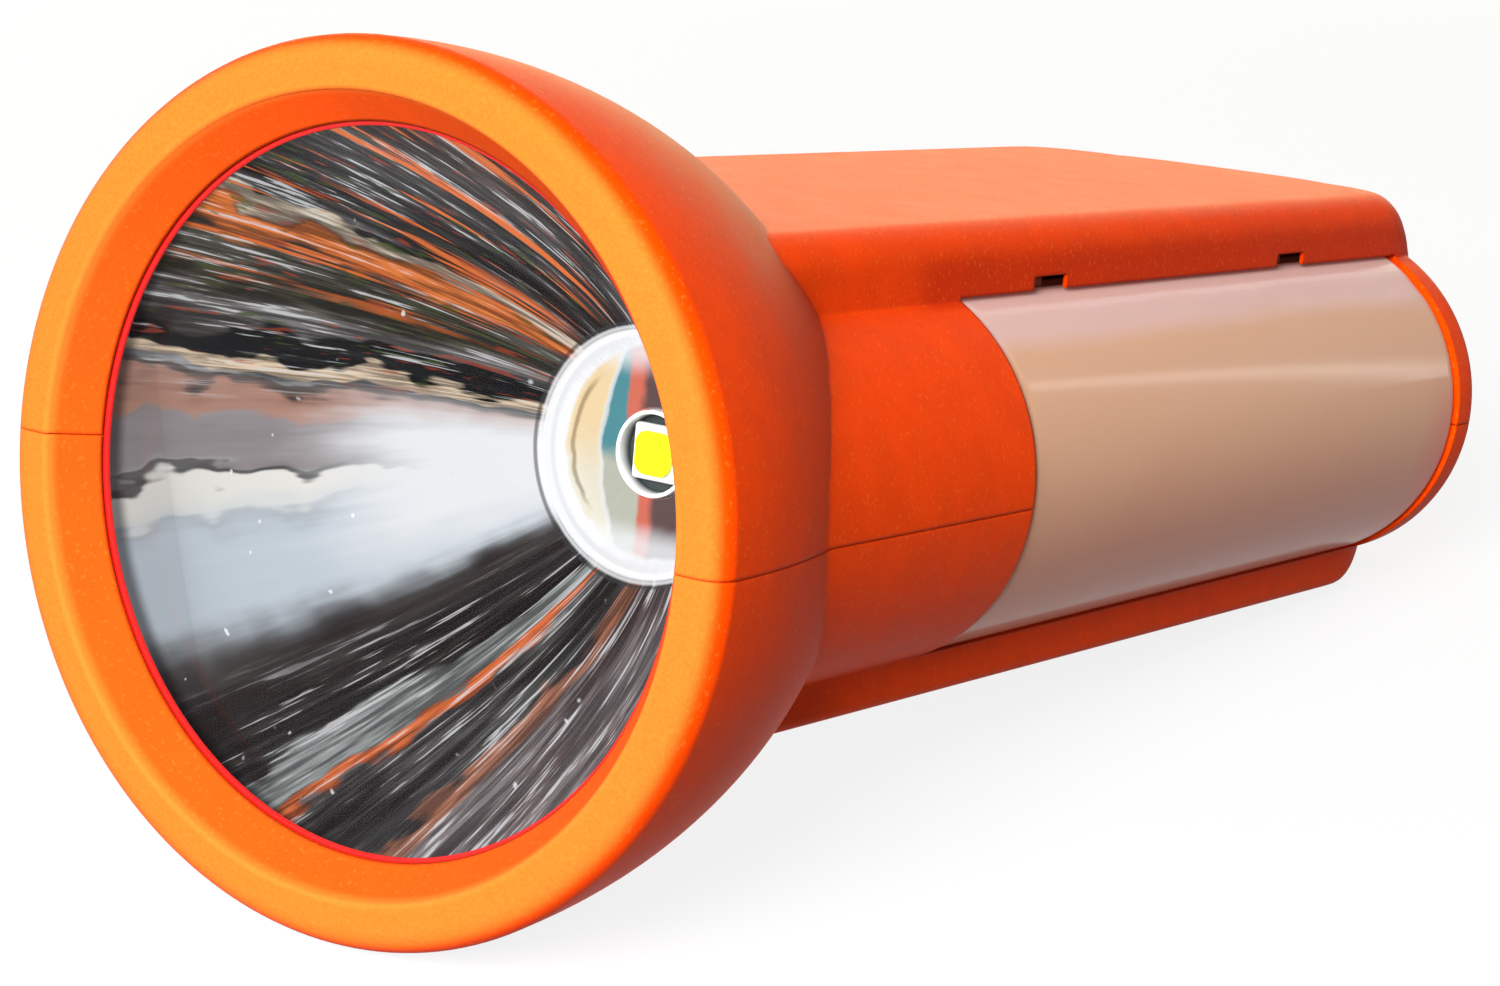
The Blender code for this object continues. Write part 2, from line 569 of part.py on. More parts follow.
# Side lantern
def diffuser_panel(torch):
    """Curved milky cover, flush with the flank, with two snap tabs on its upper edge."""
    centre = (BULGE_OFFSET, BULGE_HEIGHT)
    edge = WINDOW_HALF - GAP
    outer_angle = asin(edge / PANEL_RADIUS)
    inner_angle = asin(edge / PANEL_INNER)
    outline = (arc(centre, PANEL_RADIUS, -outer_angle, outer_angle, PANEL_POINTS)
               + arc(centre, PANEL_INNER, inner_angle, -inner_angle, PANEL_POINTS))
    panel = prism("diffuser_panel", outline, PANEL_FRONT + GAP, PANEL_REAR - GAP, "XZ")
    outside = BOX_HALF_WIDTH - CLIP_SETBACK
    top = BULGE_HEIGHT + WINDOW_HALF
    tabs = [block("tab", (outside - PANEL_THICKNESS, y - CLIP_WIDTH / 2 + GAP, top - OVERLAP),
                  (outside, y + CLIP_WIDTH / 2 - GAP, top + CLIP_HEIGHT - GAP)) for y in CLIP_PLACES]
    combine(panel, "UNION", *tabs)
    finish(panel, torch, (0.80, 0.68, 0.60), 0.35)


def lamp_tray(torch):
    """White tray behind the panel, with the LED strip on its back wall."""
    low = (TRAY_BACK, PANEL_FRONT + GAP, BULGE_HEIGHT - TRAY_HALF)
    high = (TRAY_FACE, PANEL_REAR - GAP, BULGE_HEIGHT + TRAY_HALF)
    tray = block("lamp_tray", low, high)
    scoop = block("scoop", (low[0] + TRAY_WALL, low[1] + TRAY_WALL, low[2] + TRAY_WALL),
                  (2 * high[0], high[1] - TRAY_WALL, high[2] - TRAY_WALL))
    combine(tray, "DIFFERENCE", scoop)
    finish(tray, torch, WHITE, 0.4, smooth=False)
    face = TRAY_BACK + TRAY_WALL + GAP
    start = low[1] + LAMP_BOARD_INSET
    end = high[1] - LAMP_BOARD_INSET
    strip = block("lamp_board", (face, start, BULGE_HEIGHT - LAMP_BOARD_HALF_HEIGHT),
                  (face + BOARD_THICKNESS, end, BULGE_HEIGHT + LAMP_BOARD_HALF_HEIGHT))
    finish(strip, torch, WHITE, 0.4, smooth=False)
    half = LAMP_LED_SIDE / 2
    seat = face + BOARD_THICKNESS + GAP
    pitch = (end - start) / LAMP_LED_COUNT
    for i in range(LAMP_LED_COUNT):
        y = start + (i + 0.5) * pitch
        led = block(f"lamp_led_{i + 1}", (seat, y - half, BULGE_HEIGHT - half),
                    (seat + LAMP_LED_HEIGHT, y + half, BULGE_HEIGHT + half))
        finish(led, torch, (0.88, 0.82, 0.30), 0.4, smooth=False)


# Power
def battery(torch):
    """Sealed battery on the floor, its tab terminals and the foam that holds it down."""
    half = BATTERY_HALF
    base = FLOOR + GAP
    top = base + BATTERY_HEIGHT
    case = block("battery", (-half, BATTERY_FRONT, base), (half, BATTERY_REAR, top))
    bevel_edges(case, BATTERY_EDGE, BATTERY_EDGE_STEPS, lambda v: True)
    finish(case, torch, (0.10, 0.10, 0.11), 0.5)
    for name, side in (("positive", 1), ("negative", -1)):
        x = side * TERMINAL_SPACING / 2
        front = BATTERY_FRONT - GAP - TERMINAL_LENGTH
        tab = block(f"battery_terminal_{name}",
                    (x - TERMINAL_WIDTH / 2, front, top - BATTERY_HEIGHT / 4),
                    (x + TERMINAL_WIDTH / 2, BATTERY_FRONT - GAP, top - BATTERY_HEIGHT / 4 + TERMINAL_THICKNESS))
        finish(tab, torch, STEEL, 0.3, 1.0, smooth=False)
    pad = block("battery_pad", (-half / 2, BATTERY_FRONT + half / 2, top + GAP),
                (half / 2, BATTERY_REAR - half / 2, BOX_TOP - WALL - GAP))
    finish(pad, torch, BLACK, 0.9, smooth=False)


def slide_switch(torch):
    """Fixed switch body and board, and the knob with its slider that move together."""
    inner = PAD_INNER - GAP
    half = SWITCH_BODY_HEIGHT / 2
    length = SWITCH_BODY_LENGTH / 2
    back = inner - SWITCH_BODY_DEPTH
    body = block("switch_body", (back, -length, -half), (inner, length, half), SWITCH_FRAME)
    slider_top = POCKET_FLOOR
    slider_foot = slider_top - SLIDER_REACH
    run = SLIDER_LENGTH / 2 + SWITCH_TRAVEL + GAP
    rise = SLIDER_HEIGHT / 2 + GAP
    groove = block("groove", (slider_foot - GAP, -run, -rise), (BULGE_RADIUS, run, rise), SWITCH_FRAME)
    combine(body, "DIFFERENCE", groove)
    finish(body, torch, BLACK, 0.5, smooth=False)
    board = block("control_board",
                  (back - GAP - BOARD_THICKNESS, -CONTROL_BOARD_LENGTH / 2, -CONTROL_BOARD_RISE),
                  (back - GAP, CONTROL_BOARD_LENGTH / 2, CONTROL_BOARD_DROP), SWITCH_FRAME)
    finish(board, torch, GREEN, 0.5, smooth=False)
    pivot = SWITCH_FRAME @ Vector((POCKET_FLOOR, 0, 0))
    slider = block("switch_slider", (slider_foot, -SLIDER_LENGTH / 2, -SLIDER_HEIGHT / 2),
                   (slider_top, SLIDER_LENGTH / 2, SLIDER_HEIGHT / 2), SWITCH_FRAME)
    base = POCKET_FLOOR + GAP
    crown = base + KNOB_BASE
    knob = block("switch_knob", (base, -KNOB_LENGTH / 2, -KNOB_HEIGHT / 2),
                 (crown, KNOB_LENGTH / 2, KNOB_HEIGHT / 2), SWITCH_FRAME)
    pitch = KNOB_LENGTH / KNOB_RIDGES
    ridges = []
    for i in range(KNOB_RIDGES):
        y = -KNOB_LENGTH / 2 + (i + 0.5) * pitch
        ridges.append(block("ridge", (base + KNOB_BASE / 2, y - pitch / 4, -KNOB_HEIGHT / 3),
                            (crown + KNOB_RIDGE, y + pitch / 4, KNOB_HEIGHT / 3), SWITCH_FRAME))
    combine(knob, "UNION", *ridges)
    for moving in (slider, knob):
        hang_on(moving, pivot)
        finish(moving, torch, BLACK, 0.55, smooth=False)


def charging_port(torch):
    """Round socket behind a flap that turns on a steel pin, and a charge light beside it."""
    width, length, height = SOCKET_BODY
    rear = PORT_PAD - GAP
    socket = block("charge_socket", (-width / 2, rear - length, PORT_HEIGHT - height / 2),
                   (width / 2, rear, PORT_HEIGHT + height / 2))
    centre = (0, 0, PORT_HEIGHT)
    nose = PORT_FLOOR - GAP
    combine(socket, "UNION", cylinder("nose", rear - OVERLAP, nose, SOCKET_NOSE_RADIUS, PORT_STEPS, centre))
    floor = nose - SOCKET_BORE_DEPTH
    bore = ((floor, SOCKET_PIN_RADIUS), (floor, SOCKET_BORE_RADIUS), (nose + OVERLAP, SOCKET_BORE_RADIUS),
            (nose + OVERLAP, 0), (nose - OVERLAP, 0), (nose - OVERLAP, SOCKET_PIN_RADIUS))
    combine(socket, "DIFFERENCE", revolve("bore", bore, PORT_STEPS, centre))
    finish(socket, torch, BLACK, 0.45)
    reach = PORT_HALF_WIDTH + PIN_SEAT
    turn = Matrix.Translation((0, HINGE_Y, HINGE_Z)) @ Matrix.Rotation(-pi / 2, 4, "Z")
    pin = cylinder("port_pin", -reach, reach, PIN_RADIUS, PIN_STEPS)
    pin.data.transform(turn)
    finish(pin, torch, STEEL, 0.3, 1.0)
    half = PORT_HALF_WIDTH - GAP
    cover = block("port_cover", (-half, PORT_FLOOR + GAP, PORT_HEIGHT - PORT_HALF_HEIGHT + GAP),
                  (half, PORT_FLOOR + GAP + COVER_THICKNESS, HINGE_Z))
    knuckle = cylinder("knuckle", -half, half, KNUCKLE_RADIUS, KNUCKLE_STEPS)
    eye = cylinder("eye", -2 * half, 2 * half, PIN_RADIUS + GAP, PIN_STEPS)
    for round_piece in (knuckle, eye):
        round_piece.data.transform(turn)
    combine(cover, "UNION", knuckle)
    combine(cover, "DIFFERENCE", eye)
    hang_on(cover, (0, HINGE_Y, HINGE_Z))
    finish(cover, torch, BLACK, 0.7)
    slope = sqrt(1 - (INDICATOR_PLACE / BOX_HALF_WIDTH) ** 2)
    tip = BODY_REAR - REAR_ROUND + REAR_ROUND * slope + INDICATOR_RADIUS / 2
    dome = arc((tip - INDICATOR_RADIUS, 0), INDICATOR_RADIUS, pi / 2, 0, INDICATOR_POINTS)[:-1]
    profile = [(tip - INDICATOR_LENGTH, 0), (tip - INDICATOR_LENGTH, INDICATOR_RADIUS)] + dome + [(tip, 0)]
    light = revolve("charge_indicator", profile, INDICATOR_STEPS, (INDICATOR_PLACE, 0, PORT_HEIGHT))
    finish(light, torch, (0.75, 0.05, 0.04), 0.2)


def stand(torch):
    """Tip the light onto its rim and foot, and centre it over the origin on the floor."""
    torch.rotation_euler = (-STAND_TILT, 0, 0)
    bpy.context.view_layer.update()
    corners = [child.matrix_world @ v.co for child in torch.children for v in child.data.vertices]
    middle = (min(c.y for c in corners) + max(c.y for c in corners)) / 2
    torch.location = (0, -middle, -min(c.z for c in corners))
    bpy.context.view_layer.update()


def main():
    for leftover in list(bpy.data.objects):
        bpy.data.objects.remove(leftover)
    torch = bpy.data.objects.new("torch", None)
    bpy.context.scene.collection.objects.link(torch)
    shell = housing()
    upper_shell(shell, torch)
    lower_shell(shell, torch)
    bpy.data.objects.remove(shell)
    case_screws(torch)
    lens_and_gasket(torch)
    reflector(torch)
    main_led(torch)
    diffuser_panel(torch)
    lamp_tray(torch)
    battery(torch)
    slide_switch(torch)
    charging_port(torch)
    stand(torch)


main()
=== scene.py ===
import json
from math import asin, atan2, cos, exp, pi, radians, sin, sqrt

import bmesh
import bpy
from mathutils import Matrix, Vector


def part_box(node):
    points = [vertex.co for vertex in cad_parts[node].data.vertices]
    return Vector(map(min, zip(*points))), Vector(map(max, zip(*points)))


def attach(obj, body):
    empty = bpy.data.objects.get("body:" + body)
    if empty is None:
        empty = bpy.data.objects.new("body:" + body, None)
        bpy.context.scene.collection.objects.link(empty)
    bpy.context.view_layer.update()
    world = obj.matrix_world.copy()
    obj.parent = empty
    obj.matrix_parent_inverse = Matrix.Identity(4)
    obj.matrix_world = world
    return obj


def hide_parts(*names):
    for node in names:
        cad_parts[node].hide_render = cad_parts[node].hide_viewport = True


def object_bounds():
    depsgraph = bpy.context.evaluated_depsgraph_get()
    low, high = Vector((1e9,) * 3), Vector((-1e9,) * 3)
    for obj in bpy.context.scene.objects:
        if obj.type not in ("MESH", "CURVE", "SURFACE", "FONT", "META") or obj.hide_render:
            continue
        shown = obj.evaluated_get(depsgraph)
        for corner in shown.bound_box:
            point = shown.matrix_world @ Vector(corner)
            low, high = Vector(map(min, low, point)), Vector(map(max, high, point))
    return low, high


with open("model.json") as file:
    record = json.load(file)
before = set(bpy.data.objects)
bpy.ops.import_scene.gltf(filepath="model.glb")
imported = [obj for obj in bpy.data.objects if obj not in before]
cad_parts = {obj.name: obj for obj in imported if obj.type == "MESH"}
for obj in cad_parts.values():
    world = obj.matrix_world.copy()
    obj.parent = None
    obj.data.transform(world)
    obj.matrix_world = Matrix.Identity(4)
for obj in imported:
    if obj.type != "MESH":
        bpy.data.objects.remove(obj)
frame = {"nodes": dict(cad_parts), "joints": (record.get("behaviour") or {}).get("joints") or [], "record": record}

bl_info = {
    "name": "Orange searchlight",
    "version": (1, 0, 0),
    "blender": (4, 5, 0),
    "location": "View3D > Sidebar > Searchlight",
    "description": "Builds the looks of an orange LED searchlight around its packed frame",
    "category": "Object",
}

CAD_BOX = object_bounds()
MM = 0.001
GAP = 0.3 * MM
INSIDE = 0.03 * MM


# Places taken from the frame
def mount(name):
    """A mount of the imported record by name."""
    return next(m for m in frame["record"]["mounts"] if m["name"] == name)


def beam_frame():
    """Frame of the light: Y rearward along the beam axis from the front face, Z up from it."""
    along = -Vector(mount("front_rim")["axis"]).normalized()
    up = -Vector(mount("foot")["axis"]).normalized()
    low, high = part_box("lens")
    middle = (low + high) / 2
    front = Vector(mount("front_rim")["pos_m"])
    origin = middle + along * (front - middle).dot(along)
    turn = Matrix((along.cross(up), along, up)).transposed().to_4x4()
    return Matrix.Translation(origin) @ turn


BEAM = beam_frame()
BEAM_BACK = BEAM.inverted()


def corners(*nodes):
    """Corners of CAD nodes in the light's own frame."""
    return [BEAM_BACK @ v.co for node in nodes for v in frame["nodes"][node].data.vertices]


def span(node):
    """Lowest and highest corner of a CAD node in the light's own frame."""
    places = corners(node)
    low = Vector([min(p[i] for p in places) for i in range(3)])
    high = Vector([max(p[i] for p in places) for i in range(3)])
    return low, high


def mount_height(name):
    """Height of a mount above the beam axis."""
    return (BEAM_BACK @ Vector(mount(name)["pos_m"])).z


LENS = span("lens")
SEAL = span("lens_gasket")
BOWL = span("reflector")
COLLAR = span("led_collar")
PACKAGE = span("led_package")
PHOSPHOR = span("led_phosphor")
PANEL = span("diffuser_panel")
COVER = span("port_cover")
LAMP = span("charge_indicator")
PAD = span("battery_pad")

# Outer sizes of the housing, read from its corners
SHELL = corners("upper_shell", "lower_shell")
HEAD_RADIUS = max(p.x for p in SHELL) - INSIDE
BODY_REAR = max(p.y for p in SHELL) - 2 * INSIDE
BOX_TOP = mount_height("top") - INSIDE
FOOT_DEPTH = -mount_height("foot") - INSIDE
FOOT_FACE = [p for p in SHELL if p.z < INSIDE - FOOT_DEPTH and p.y > BODY_REAR / 3]
FOOT_EDGE = 1.5 * MM
BOX_HALF_WIDTH = max(p.x for p in SHELL if p.z > BOX_TOP * 0.8 and p.y > BODY_REAR / 2)
FLANK_REACH = max(p.x for p in SHELL if p.y > BODY_REAR / 2)
FLANK_REAR = max(p.y for p in SHELL if p.x > (BOX_HALF_WIDTH + FLANK_REACH) / 2)
FLANK_RADIUS = 24.5 * MM


def length_prop(name, description, default):
    """A size in metres for the sidebar."""
    return bpy.props.FloatProperty(name=name, description=description, default=default, min=0.0,
                                   precision=5, subtype="DISTANCE", unit="LENGTH")


def colour_prop(name, description, default):
    """A linear colour for the sidebar."""
    return bpy.props.FloatVectorProperty(name=name, description=description, default=default, size=3,
                                         min=0.0, max=1.0, subtype="COLOR")


def number_prop(name, description, default, top=100.0):
    """A plain number for the sidebar."""
    return bpy.props.FloatProperty(name=name, description=description, default=default, min=0.0, max=top)


def count_prop(name, description, default):
    """A whole number for the sidebar."""
    return bpy.props.IntProperty(name=name, description=description, default=default, min=2)


# Sizes and colours a user would change
class HousingSizes(bpy.types.PropertyGroup):
    head_radius: length_prop("Head radius", "Outer radius of the front ring", HEAD_RADIUS)
    bell_length: length_prop("Bell length", "Depth of the ellipse that the head follows", 0.068)
    bell_cut: length_prop("Bell cut", "Part of the ellipse left off inside the body", 0.006)
    rim_round: length_prop("Rim round", "Rounding of the ring's outer edge", 0.003)
    rim_width: length_prop("Rim width", "Width of the ring's flat front", 0.0060)
    lip_round: length_prop("Lip round", "Rounding of the ring's inner edge", 0.0006)
    lip_taper: length_prop("Lip taper", "How far the lip closes in towards the lens", 0.0035)
    wall: length_prop("Wall", "Wall of the moulding", 0.0024)
    parting: length_prop("Parting gap", "Width of the line between the halves", 0.00014)
    box_half_width: length_prop("Box half width", "Half the width of the box on top", BOX_HALF_WIDTH)
    box_top: length_prop("Box top", "Height of the box above the beam axis", BOX_TOP)
    box_round: length_prop("Box round", "Rounding of the box's top edge", 0.0045)
    box_end_round: length_prop("Box end round", "Rounding of the top edge at the rear end", 0.0165)
    core_depth: length_prop("Core depth", "Depth of the rear end below the beam axis", 0.0195)
    body_front: length_prop("Body front", "Where the body starts inside the bell", 0.0215)
    body_rear: length_prop("Body rear", "Rear end of the body", BODY_REAR)
    rear_round: length_prop("Rear round", "Depth of the rounded rear end", 0.029)
    end_fullness: number_prop("End fullness", "Fullness of the rounded ends, 2 for an ellipse", 2.9, 8.0)
    flank_radius: length_prop("Flank radius", "Radius of the round flanks", FLANK_RADIUS)
    flank_offset: length_prop("Flank offset", "Flank axis to the middle", FLANK_REACH - FLANK_RADIUS)
    flank_height: length_prop("Flank height", "Flank axis above the beam axis", 0.0015)
    flank_rear: length_prop("Flank rear", "Rear end of the flanks", FLANK_REAR)
    flank_round: length_prop("Flank round", "Rounding of the flanks' rear edge", 0.0055)
    foot_half_width: length_prop("Foot half width", "Half the width of the foot",
                                 max(p.x for p in FOOT_FACE) + FOOT_EDGE)
    foot_depth: length_prop("Foot depth", "Depth of the foot below the beam axis", FOOT_DEPTH)
    foot_rear: length_prop("Foot rear", "Rear end of the foot", max(p.y for p in FOOT_FACE) + FOOT_EDGE)
    foot_round: length_prop("Foot round", "Depth of the foot's rounded end", 0.024)
    foot_edge: length_prop("Foot edge", "Rounding of the foot's lower edge", FOOT_EDGE)
    foot_end_edge: length_prop("Foot end edge", "Rounding of the lower edge at the foot's rear end", 0.007)
    clip_height: length_prop("Clip height", "Height of the snap windows", 0.0017)
    clip_width: length_prop("Clip width", "Width of the snap windows", 0.008)
    clip_wall: length_prop("Clip wall", "Wall left at the snap windows", 0.0005)
    screw_bore: length_prop("Screw bore", "Radius of the counterbores in the foot", 0.0035)
    screw_seat: length_prop("Screw seat", "Depth of the screw heads below the parting", 0.013)
    orange: colour_prop("Orange", "Colour of the housing", (0.86, 0.056, 0.0006))
    # The pale orange is the grain's colour and also the painted highlight on the front ring and its lip
    pale: colour_prop("Pale orange", "Colour of its scuffed grain", (0.95, 0.215, 0.030))
    # The deep orange is painted shade in the corners beside the box
    deep: colour_prop("Deep orange", "Colour in the corners beside the box", (0.48, 0.016, 0.0004))
    grain: length_prop("Grain", "Size of the moulded grain", 0.00035)


class HeadSizes(bpy.types.PropertyGroup):
    dish_radius: length_prop("Dish radius", "Radius of the dish at the mirror's bottom", 0.0153)
    dish_floor: length_prop("Dish floor", "Radius of the dish's floor", 0.0092)
    dish_depth: length_prop("Dish depth", "Depth of the dish", 0.0022)
    bead: length_prop("Bead", "Rounding of the dish's edge", 0.0006)
    mirror_wall: length_prop("Mirror wall", "Wall of the mirror", 0.0015)
    flange: length_prop("Flange", "Thickness of the mirror's flange", 0.0018)
    led_round: length_prop("LED round", "Rounding of the LED's corners", 0.0005)
    bright: colour_prop("Bright mirror", "Pale reflections", (0.92, 0.94, 0.97))
    dark: colour_prop("Dark mirror", "Dark reflections", (0.010, 0.010, 0.012))
    warm: colour_prop("Warm mirror", "Orange reflections", (0.90, 0.20, 0.04))
    seal: colour_prop("Seal", "Colour of the lens seal", (0.70, 0.010, 0.008))
    phosphor: colour_prop("Phosphor", "Colour of the LED's phosphor", (0.80, 0.88, 0.004))
    tint: colour_prop("Lens tint", "Depth of the clear lens behind its gloss", (0.010, 0.011, 0.012))
    collar_radius: length_prop("Collar radius", "Outer radius of the ring round the LED", 0.0054)
    collar_crest: length_prop("Collar crest", "Width of that ring's crest", 0.0005)
    case_half: length_prop("Case half", "Half the width of the LED's case", 0.0035)
    die_half: length_prop("Die half", "Half the width of the LED's phosphor", 0.0027)
    die_round: length_prop("Die round", "Rounding of the phosphor's corners", 0.0016)


class LanternSizes(bpy.types.PropertyGroup):
    recess: length_prop("Recess", "How far the panel lies below the flank", 0.0004)
    thickness: length_prop("Thickness", "Wall of the panel", 0.002)
    ripple: length_prop("Ripple", "Unevenness of the panel's upper shoulder", 0.00014)
    end_round: length_prop("End round", "Rounding of the panel's ends", 0.0014)
    tab_setback: length_prop("Tab setback", "Snap tabs behind the box's wall", 0.0032)
    led_count: count_prop("LED count", "LEDs behind the panel", 8)
    milky: colour_prop("Milky", "Colour of the panel", (0.64, 0.35, 0.21))
    # The upper strip's colour is a painted highlight; the lower part's colour is partly its own tone and partly
    # painted shade
    milky_top: colour_prop("Milky top", "Colour of the panel's upper strip", (0.66, 0.41, 0.36))
    milky_low: colour_prop("Milky low", "Colour of the panel's lower part", (0.46, 0.12, 0.06))
    milky_end: colour_prop("Milky end", "Colour of the panel's lower rear end", (0.60, 0.15, 0.11))
    # The tab shade is painted shade on the snap tabs inside their windows
    tab_shade: colour_prop("Tab shade", "Colour of the snap tabs in their windows", (0.24, 0.05, 0.03))


class SwitchSizes(bpy.types.PropertyGroup):
    place: length_prop("Place", "Switch along the body", 0.126)
    angle: bpy.props.FloatProperty(name="Angle", description="Switch above the horizontal",
                                   default=radians(25), subtype="ANGLE", unit="ROTATION")
    travel: length_prop("Travel", "Slide to either side", 0.005)
    knob_length: length_prop("Knob length", "Length of the knob", 0.012)
    knob_height: length_prop("Knob height", "Height of the knob", 0.009)
    knob_base: length_prop("Knob base", "Thickness of the knob's base", 0.0015)
    ridge: length_prop("Ridge", "Height of the knob's ridges", 0.0012)
    ridges: count_prop("Ridges", "Ridges across the knob", 4)
    pocket: length_prop("Pocket", "Depth of the knob's pocket", 0.0023)
    edge: length_prop("Edge", "Rounding of the knob's edges", 0.0004)
    slot_length: length_prop("Slot length", "Length of the slider's slot", 0.0146)
    slot_height: length_prop("Slot height", "Height of the slider's slot", 0.0036)


class PortSizes(bpy.types.PropertyGroup):
    height: length_prop("Height", "Port above the beam axis", 0.012)
    half: length_prop("Half size", "Half the pocket's width and height", 0.007)
    depth: length_prop("Depth", "Depth of the pocket", 0.0046)
    hole: length_prop("Hole", "Radius of the socket's hole", 0.0042)
    pin_hole: length_prop("Pin hole", "Radius of the hinge pin's seat", 0.001)
    pin_reach: length_prop("Pin reach", "Half length of the hinge pin's seat", 0.0087)
    knuckle: length_prop("Knuckle", "Radius of the flap's knuckle", 0.0015)
    flap: length_prop("Flap", "Thickness of the flap", 0.0021)
    lamp_hole: length_prop("Lamp hole", "Radius of the charge lamp's hole", 0.0018)
    ribs: count_prop("Ribs", "Grip ribs on the flap", 4)


class InsideSizes(bpy.types.PropertyGroup):
    foam_round: length_prop("Foam round", "Rounding of the foam pad's edges", 0.0008)
    foam_pull: number_prop("Foam pull", "Share by which the foam's free sides pull in", 0.05, 1.0)
    foam_cuts: count_prop("Foam cuts", "Cuts along each edge of the foam pad", 24)


class StageSizes(bpy.types.PropertyGroup):
    floor_radius: length_prop("Floor radius", "Radius of the floor", 3.0)
    floor: colour_prop("Floor", "Colour of the floor", (0.20, 0.20, 0.20))
    seen_floor: colour_prop("Seen floor", "Colour of the floor as the camera sees it", (0.92, 0.92, 0.92))
    bright_floor: number_prop("Bright floor", "Share of plain white in the floor as the camera sees it",
                              0.86, 1.0)
    sky: number_prop("Sky", "Strength of the soft light all round", 0.10, 1.0)
    key: number_prop("Key", "Power of the main lamp", 35.0)
    card: number_prop("Card", "Power of the card behind", 7.0)
    card_tint: colour_prop("Card tint", "Colour of the card behind", (1.0, 0.88, 0.40))
    strip: number_prop("Strip", "Power of the strip lamps", 0.50)
    fill: number_prop("Fill", "Power of the lamp on the far side", 8.0)
    lens: number_prop("Lens", "Focal length in millimetres", 87.3, 300.0)


# Mesh helpers, all in the light's own frame
def make_object(name, bm):
    """Turn a bmesh into a named object with outward faces."""
    bmesh.ops.remove_doubles(bm, verts=bm.verts, dist=1e-7)
    bmesh.ops.recalc_face_normals(bm, faces=bm.faces)
    mesh = bpy.data.meshes.new(name)
    bm.to_mesh(mesh)
    bm.free()
    made = bpy.data.objects.new(name, mesh)
    bpy.context.scene.collection.objects.link(made)
    return made


def revolve(name, profile, steps, centre=(0, 0, 0), axis="Y"):
    """Spin a closed (along, radius) profile round a line parallel to X, Y or Z."""
    bm = bmesh.new()
    rings = []
    for along, radius in profile:
        ring = []
        for i in range(steps if radius > 0 else 1):
            a = 2 * pi * i / steps
            c, s = radius * cos(a), radius * sin(a)
            place = {"X": (along, c, s), "Y": (c, along, s), "Z": (c, s, along)}[axis]
            ring.append(bm.verts.new(Vector(place) + Vector(centre)))
        rings.append(ring)
    for k in range(len(rings)):
        one, two = rings[k - 1], rings[k]
        if len(one) == 1 and len(two) == 1:
            continue
        for i in range(steps):
            j = (i + 1) % steps
            loop = [one[i % len(one)], one[j % len(one)], two[j % len(two)], two[i % len(two)]]
            bm.faces.new(list(dict.fromkeys(loop)))
    return make_object(name, bm)


def cylinder(name, start, end, radius, steps, centre=(0, 0, 0), axis="Y"):
    """Round bar between two places along its axis."""
    return revolve(name, ((start, 0), (start, radius), (end, radius), (end, 0)), steps, centre, axis)


def rounded_prism(name, plan, base, end, segments=10):
    """Extrude a plan of places, outward directions and edge widths up or down to a rounded end."""
    way = 1 if end > base else -1
    bm = bmesh.new()
    rings = [[bm.verts.new((*place, base)) for place, _, _ in plan]]
    for i in range(segments + 1):
        a = pi / 2 * i / segments
        rings.append([bm.verts.new((place[0] - out[0] * width * (1 - cos(a)),
                                    place[1] - out[1] * width * (1 - cos(a)),
                                    end - way * width * (1 - sin(a)))) for place, out, width in plan])
    for one, two in zip(rings, rings[1:]):
        for k in range(len(one)):
            bm.faces.new((one[k - 1], one[k], two[k], two[k - 1]))
    bm.faces.new(rings[0])
    bm.faces.new(rings[-1])
    return make_object(name, bm)


def block(name, low, high, place=None, cuts=0):
    """Box between two corners, in its own frame if one is given."""
    bm = bmesh.new()
    bmesh.ops.create_cube(bm, size=1)
    low, high = Vector(low), Vector(high)
    size = Matrix.Translation((low + high) / 2) @ Matrix.Diagonal((*(high - low), 1))
    bmesh.ops.transform(bm, matrix=(place or Matrix()) @ size, verts=bm.verts)
    if cuts:
        bmesh.ops.subdivide_edges(bm, edges=bm.edges, cuts=cuts, use_grid_fill=True)
    return make_object(name, bm)


def bevel_edges(made, width, segments, chosen=lambda place: True):
    """Round the edges whose two ends pass a test."""
    bm = bmesh.new()
    bm.from_mesh(made.data)
    edges = [e for e in bm.edges if all(chosen(v.co) for v in e.verts)]
    bmesh.ops.bevel(bm, geom=edges, offset=width, segments=segments, affect="EDGES", profile=0.5)
    bm.to_mesh(made.data)
    bm.free()
    return made


def settle(made):
    """Apply a piece's modifiers to its mesh."""
    mesh = bpy.data.meshes.new_from_object(made.evaluated_get(bpy.context.evaluated_depsgraph_get()))
    made.modifiers.clear()
    made.data = mesh
    return made


def combine(base, operation, *tools):
    """Cut, join or intersect a base with tools one by one, which are used up."""
    for tool in tools:
        step = base.modifiers.new(tool.name, "BOOLEAN")
        step.operation = operation
        step.object = tool
        settle(base)
        bm = bmesh.new()
        bm.from_mesh(base.data)
        bmesh.ops.remove_doubles(bm, verts=bm.verts, dist=2e-6)
        bm.to_mesh(base.data)
        bm.free()
        bpy.data.objects.remove(tool)
    return base


def join(base, *others):
    """Put the meshes of other pieces into one piece as further closed shells."""
    bm = bmesh.new()
    bm.from_mesh(base.data)
    for other in others:
        bm.from_mesh(other.data)
        bpy.data.objects.remove(other)
    bm.to_mesh(base.data)
    bm.free()
    return base


def arc(centre, radius, start, end, points):
    """Points along a circular arc, from one angle to another."""
    steps = [start + (end - start) * i / (points - 1) for i in range(points)]
    return [(centre[0] + radius * cos(a), centre[1] + radius * sin(a)) for a in steps]


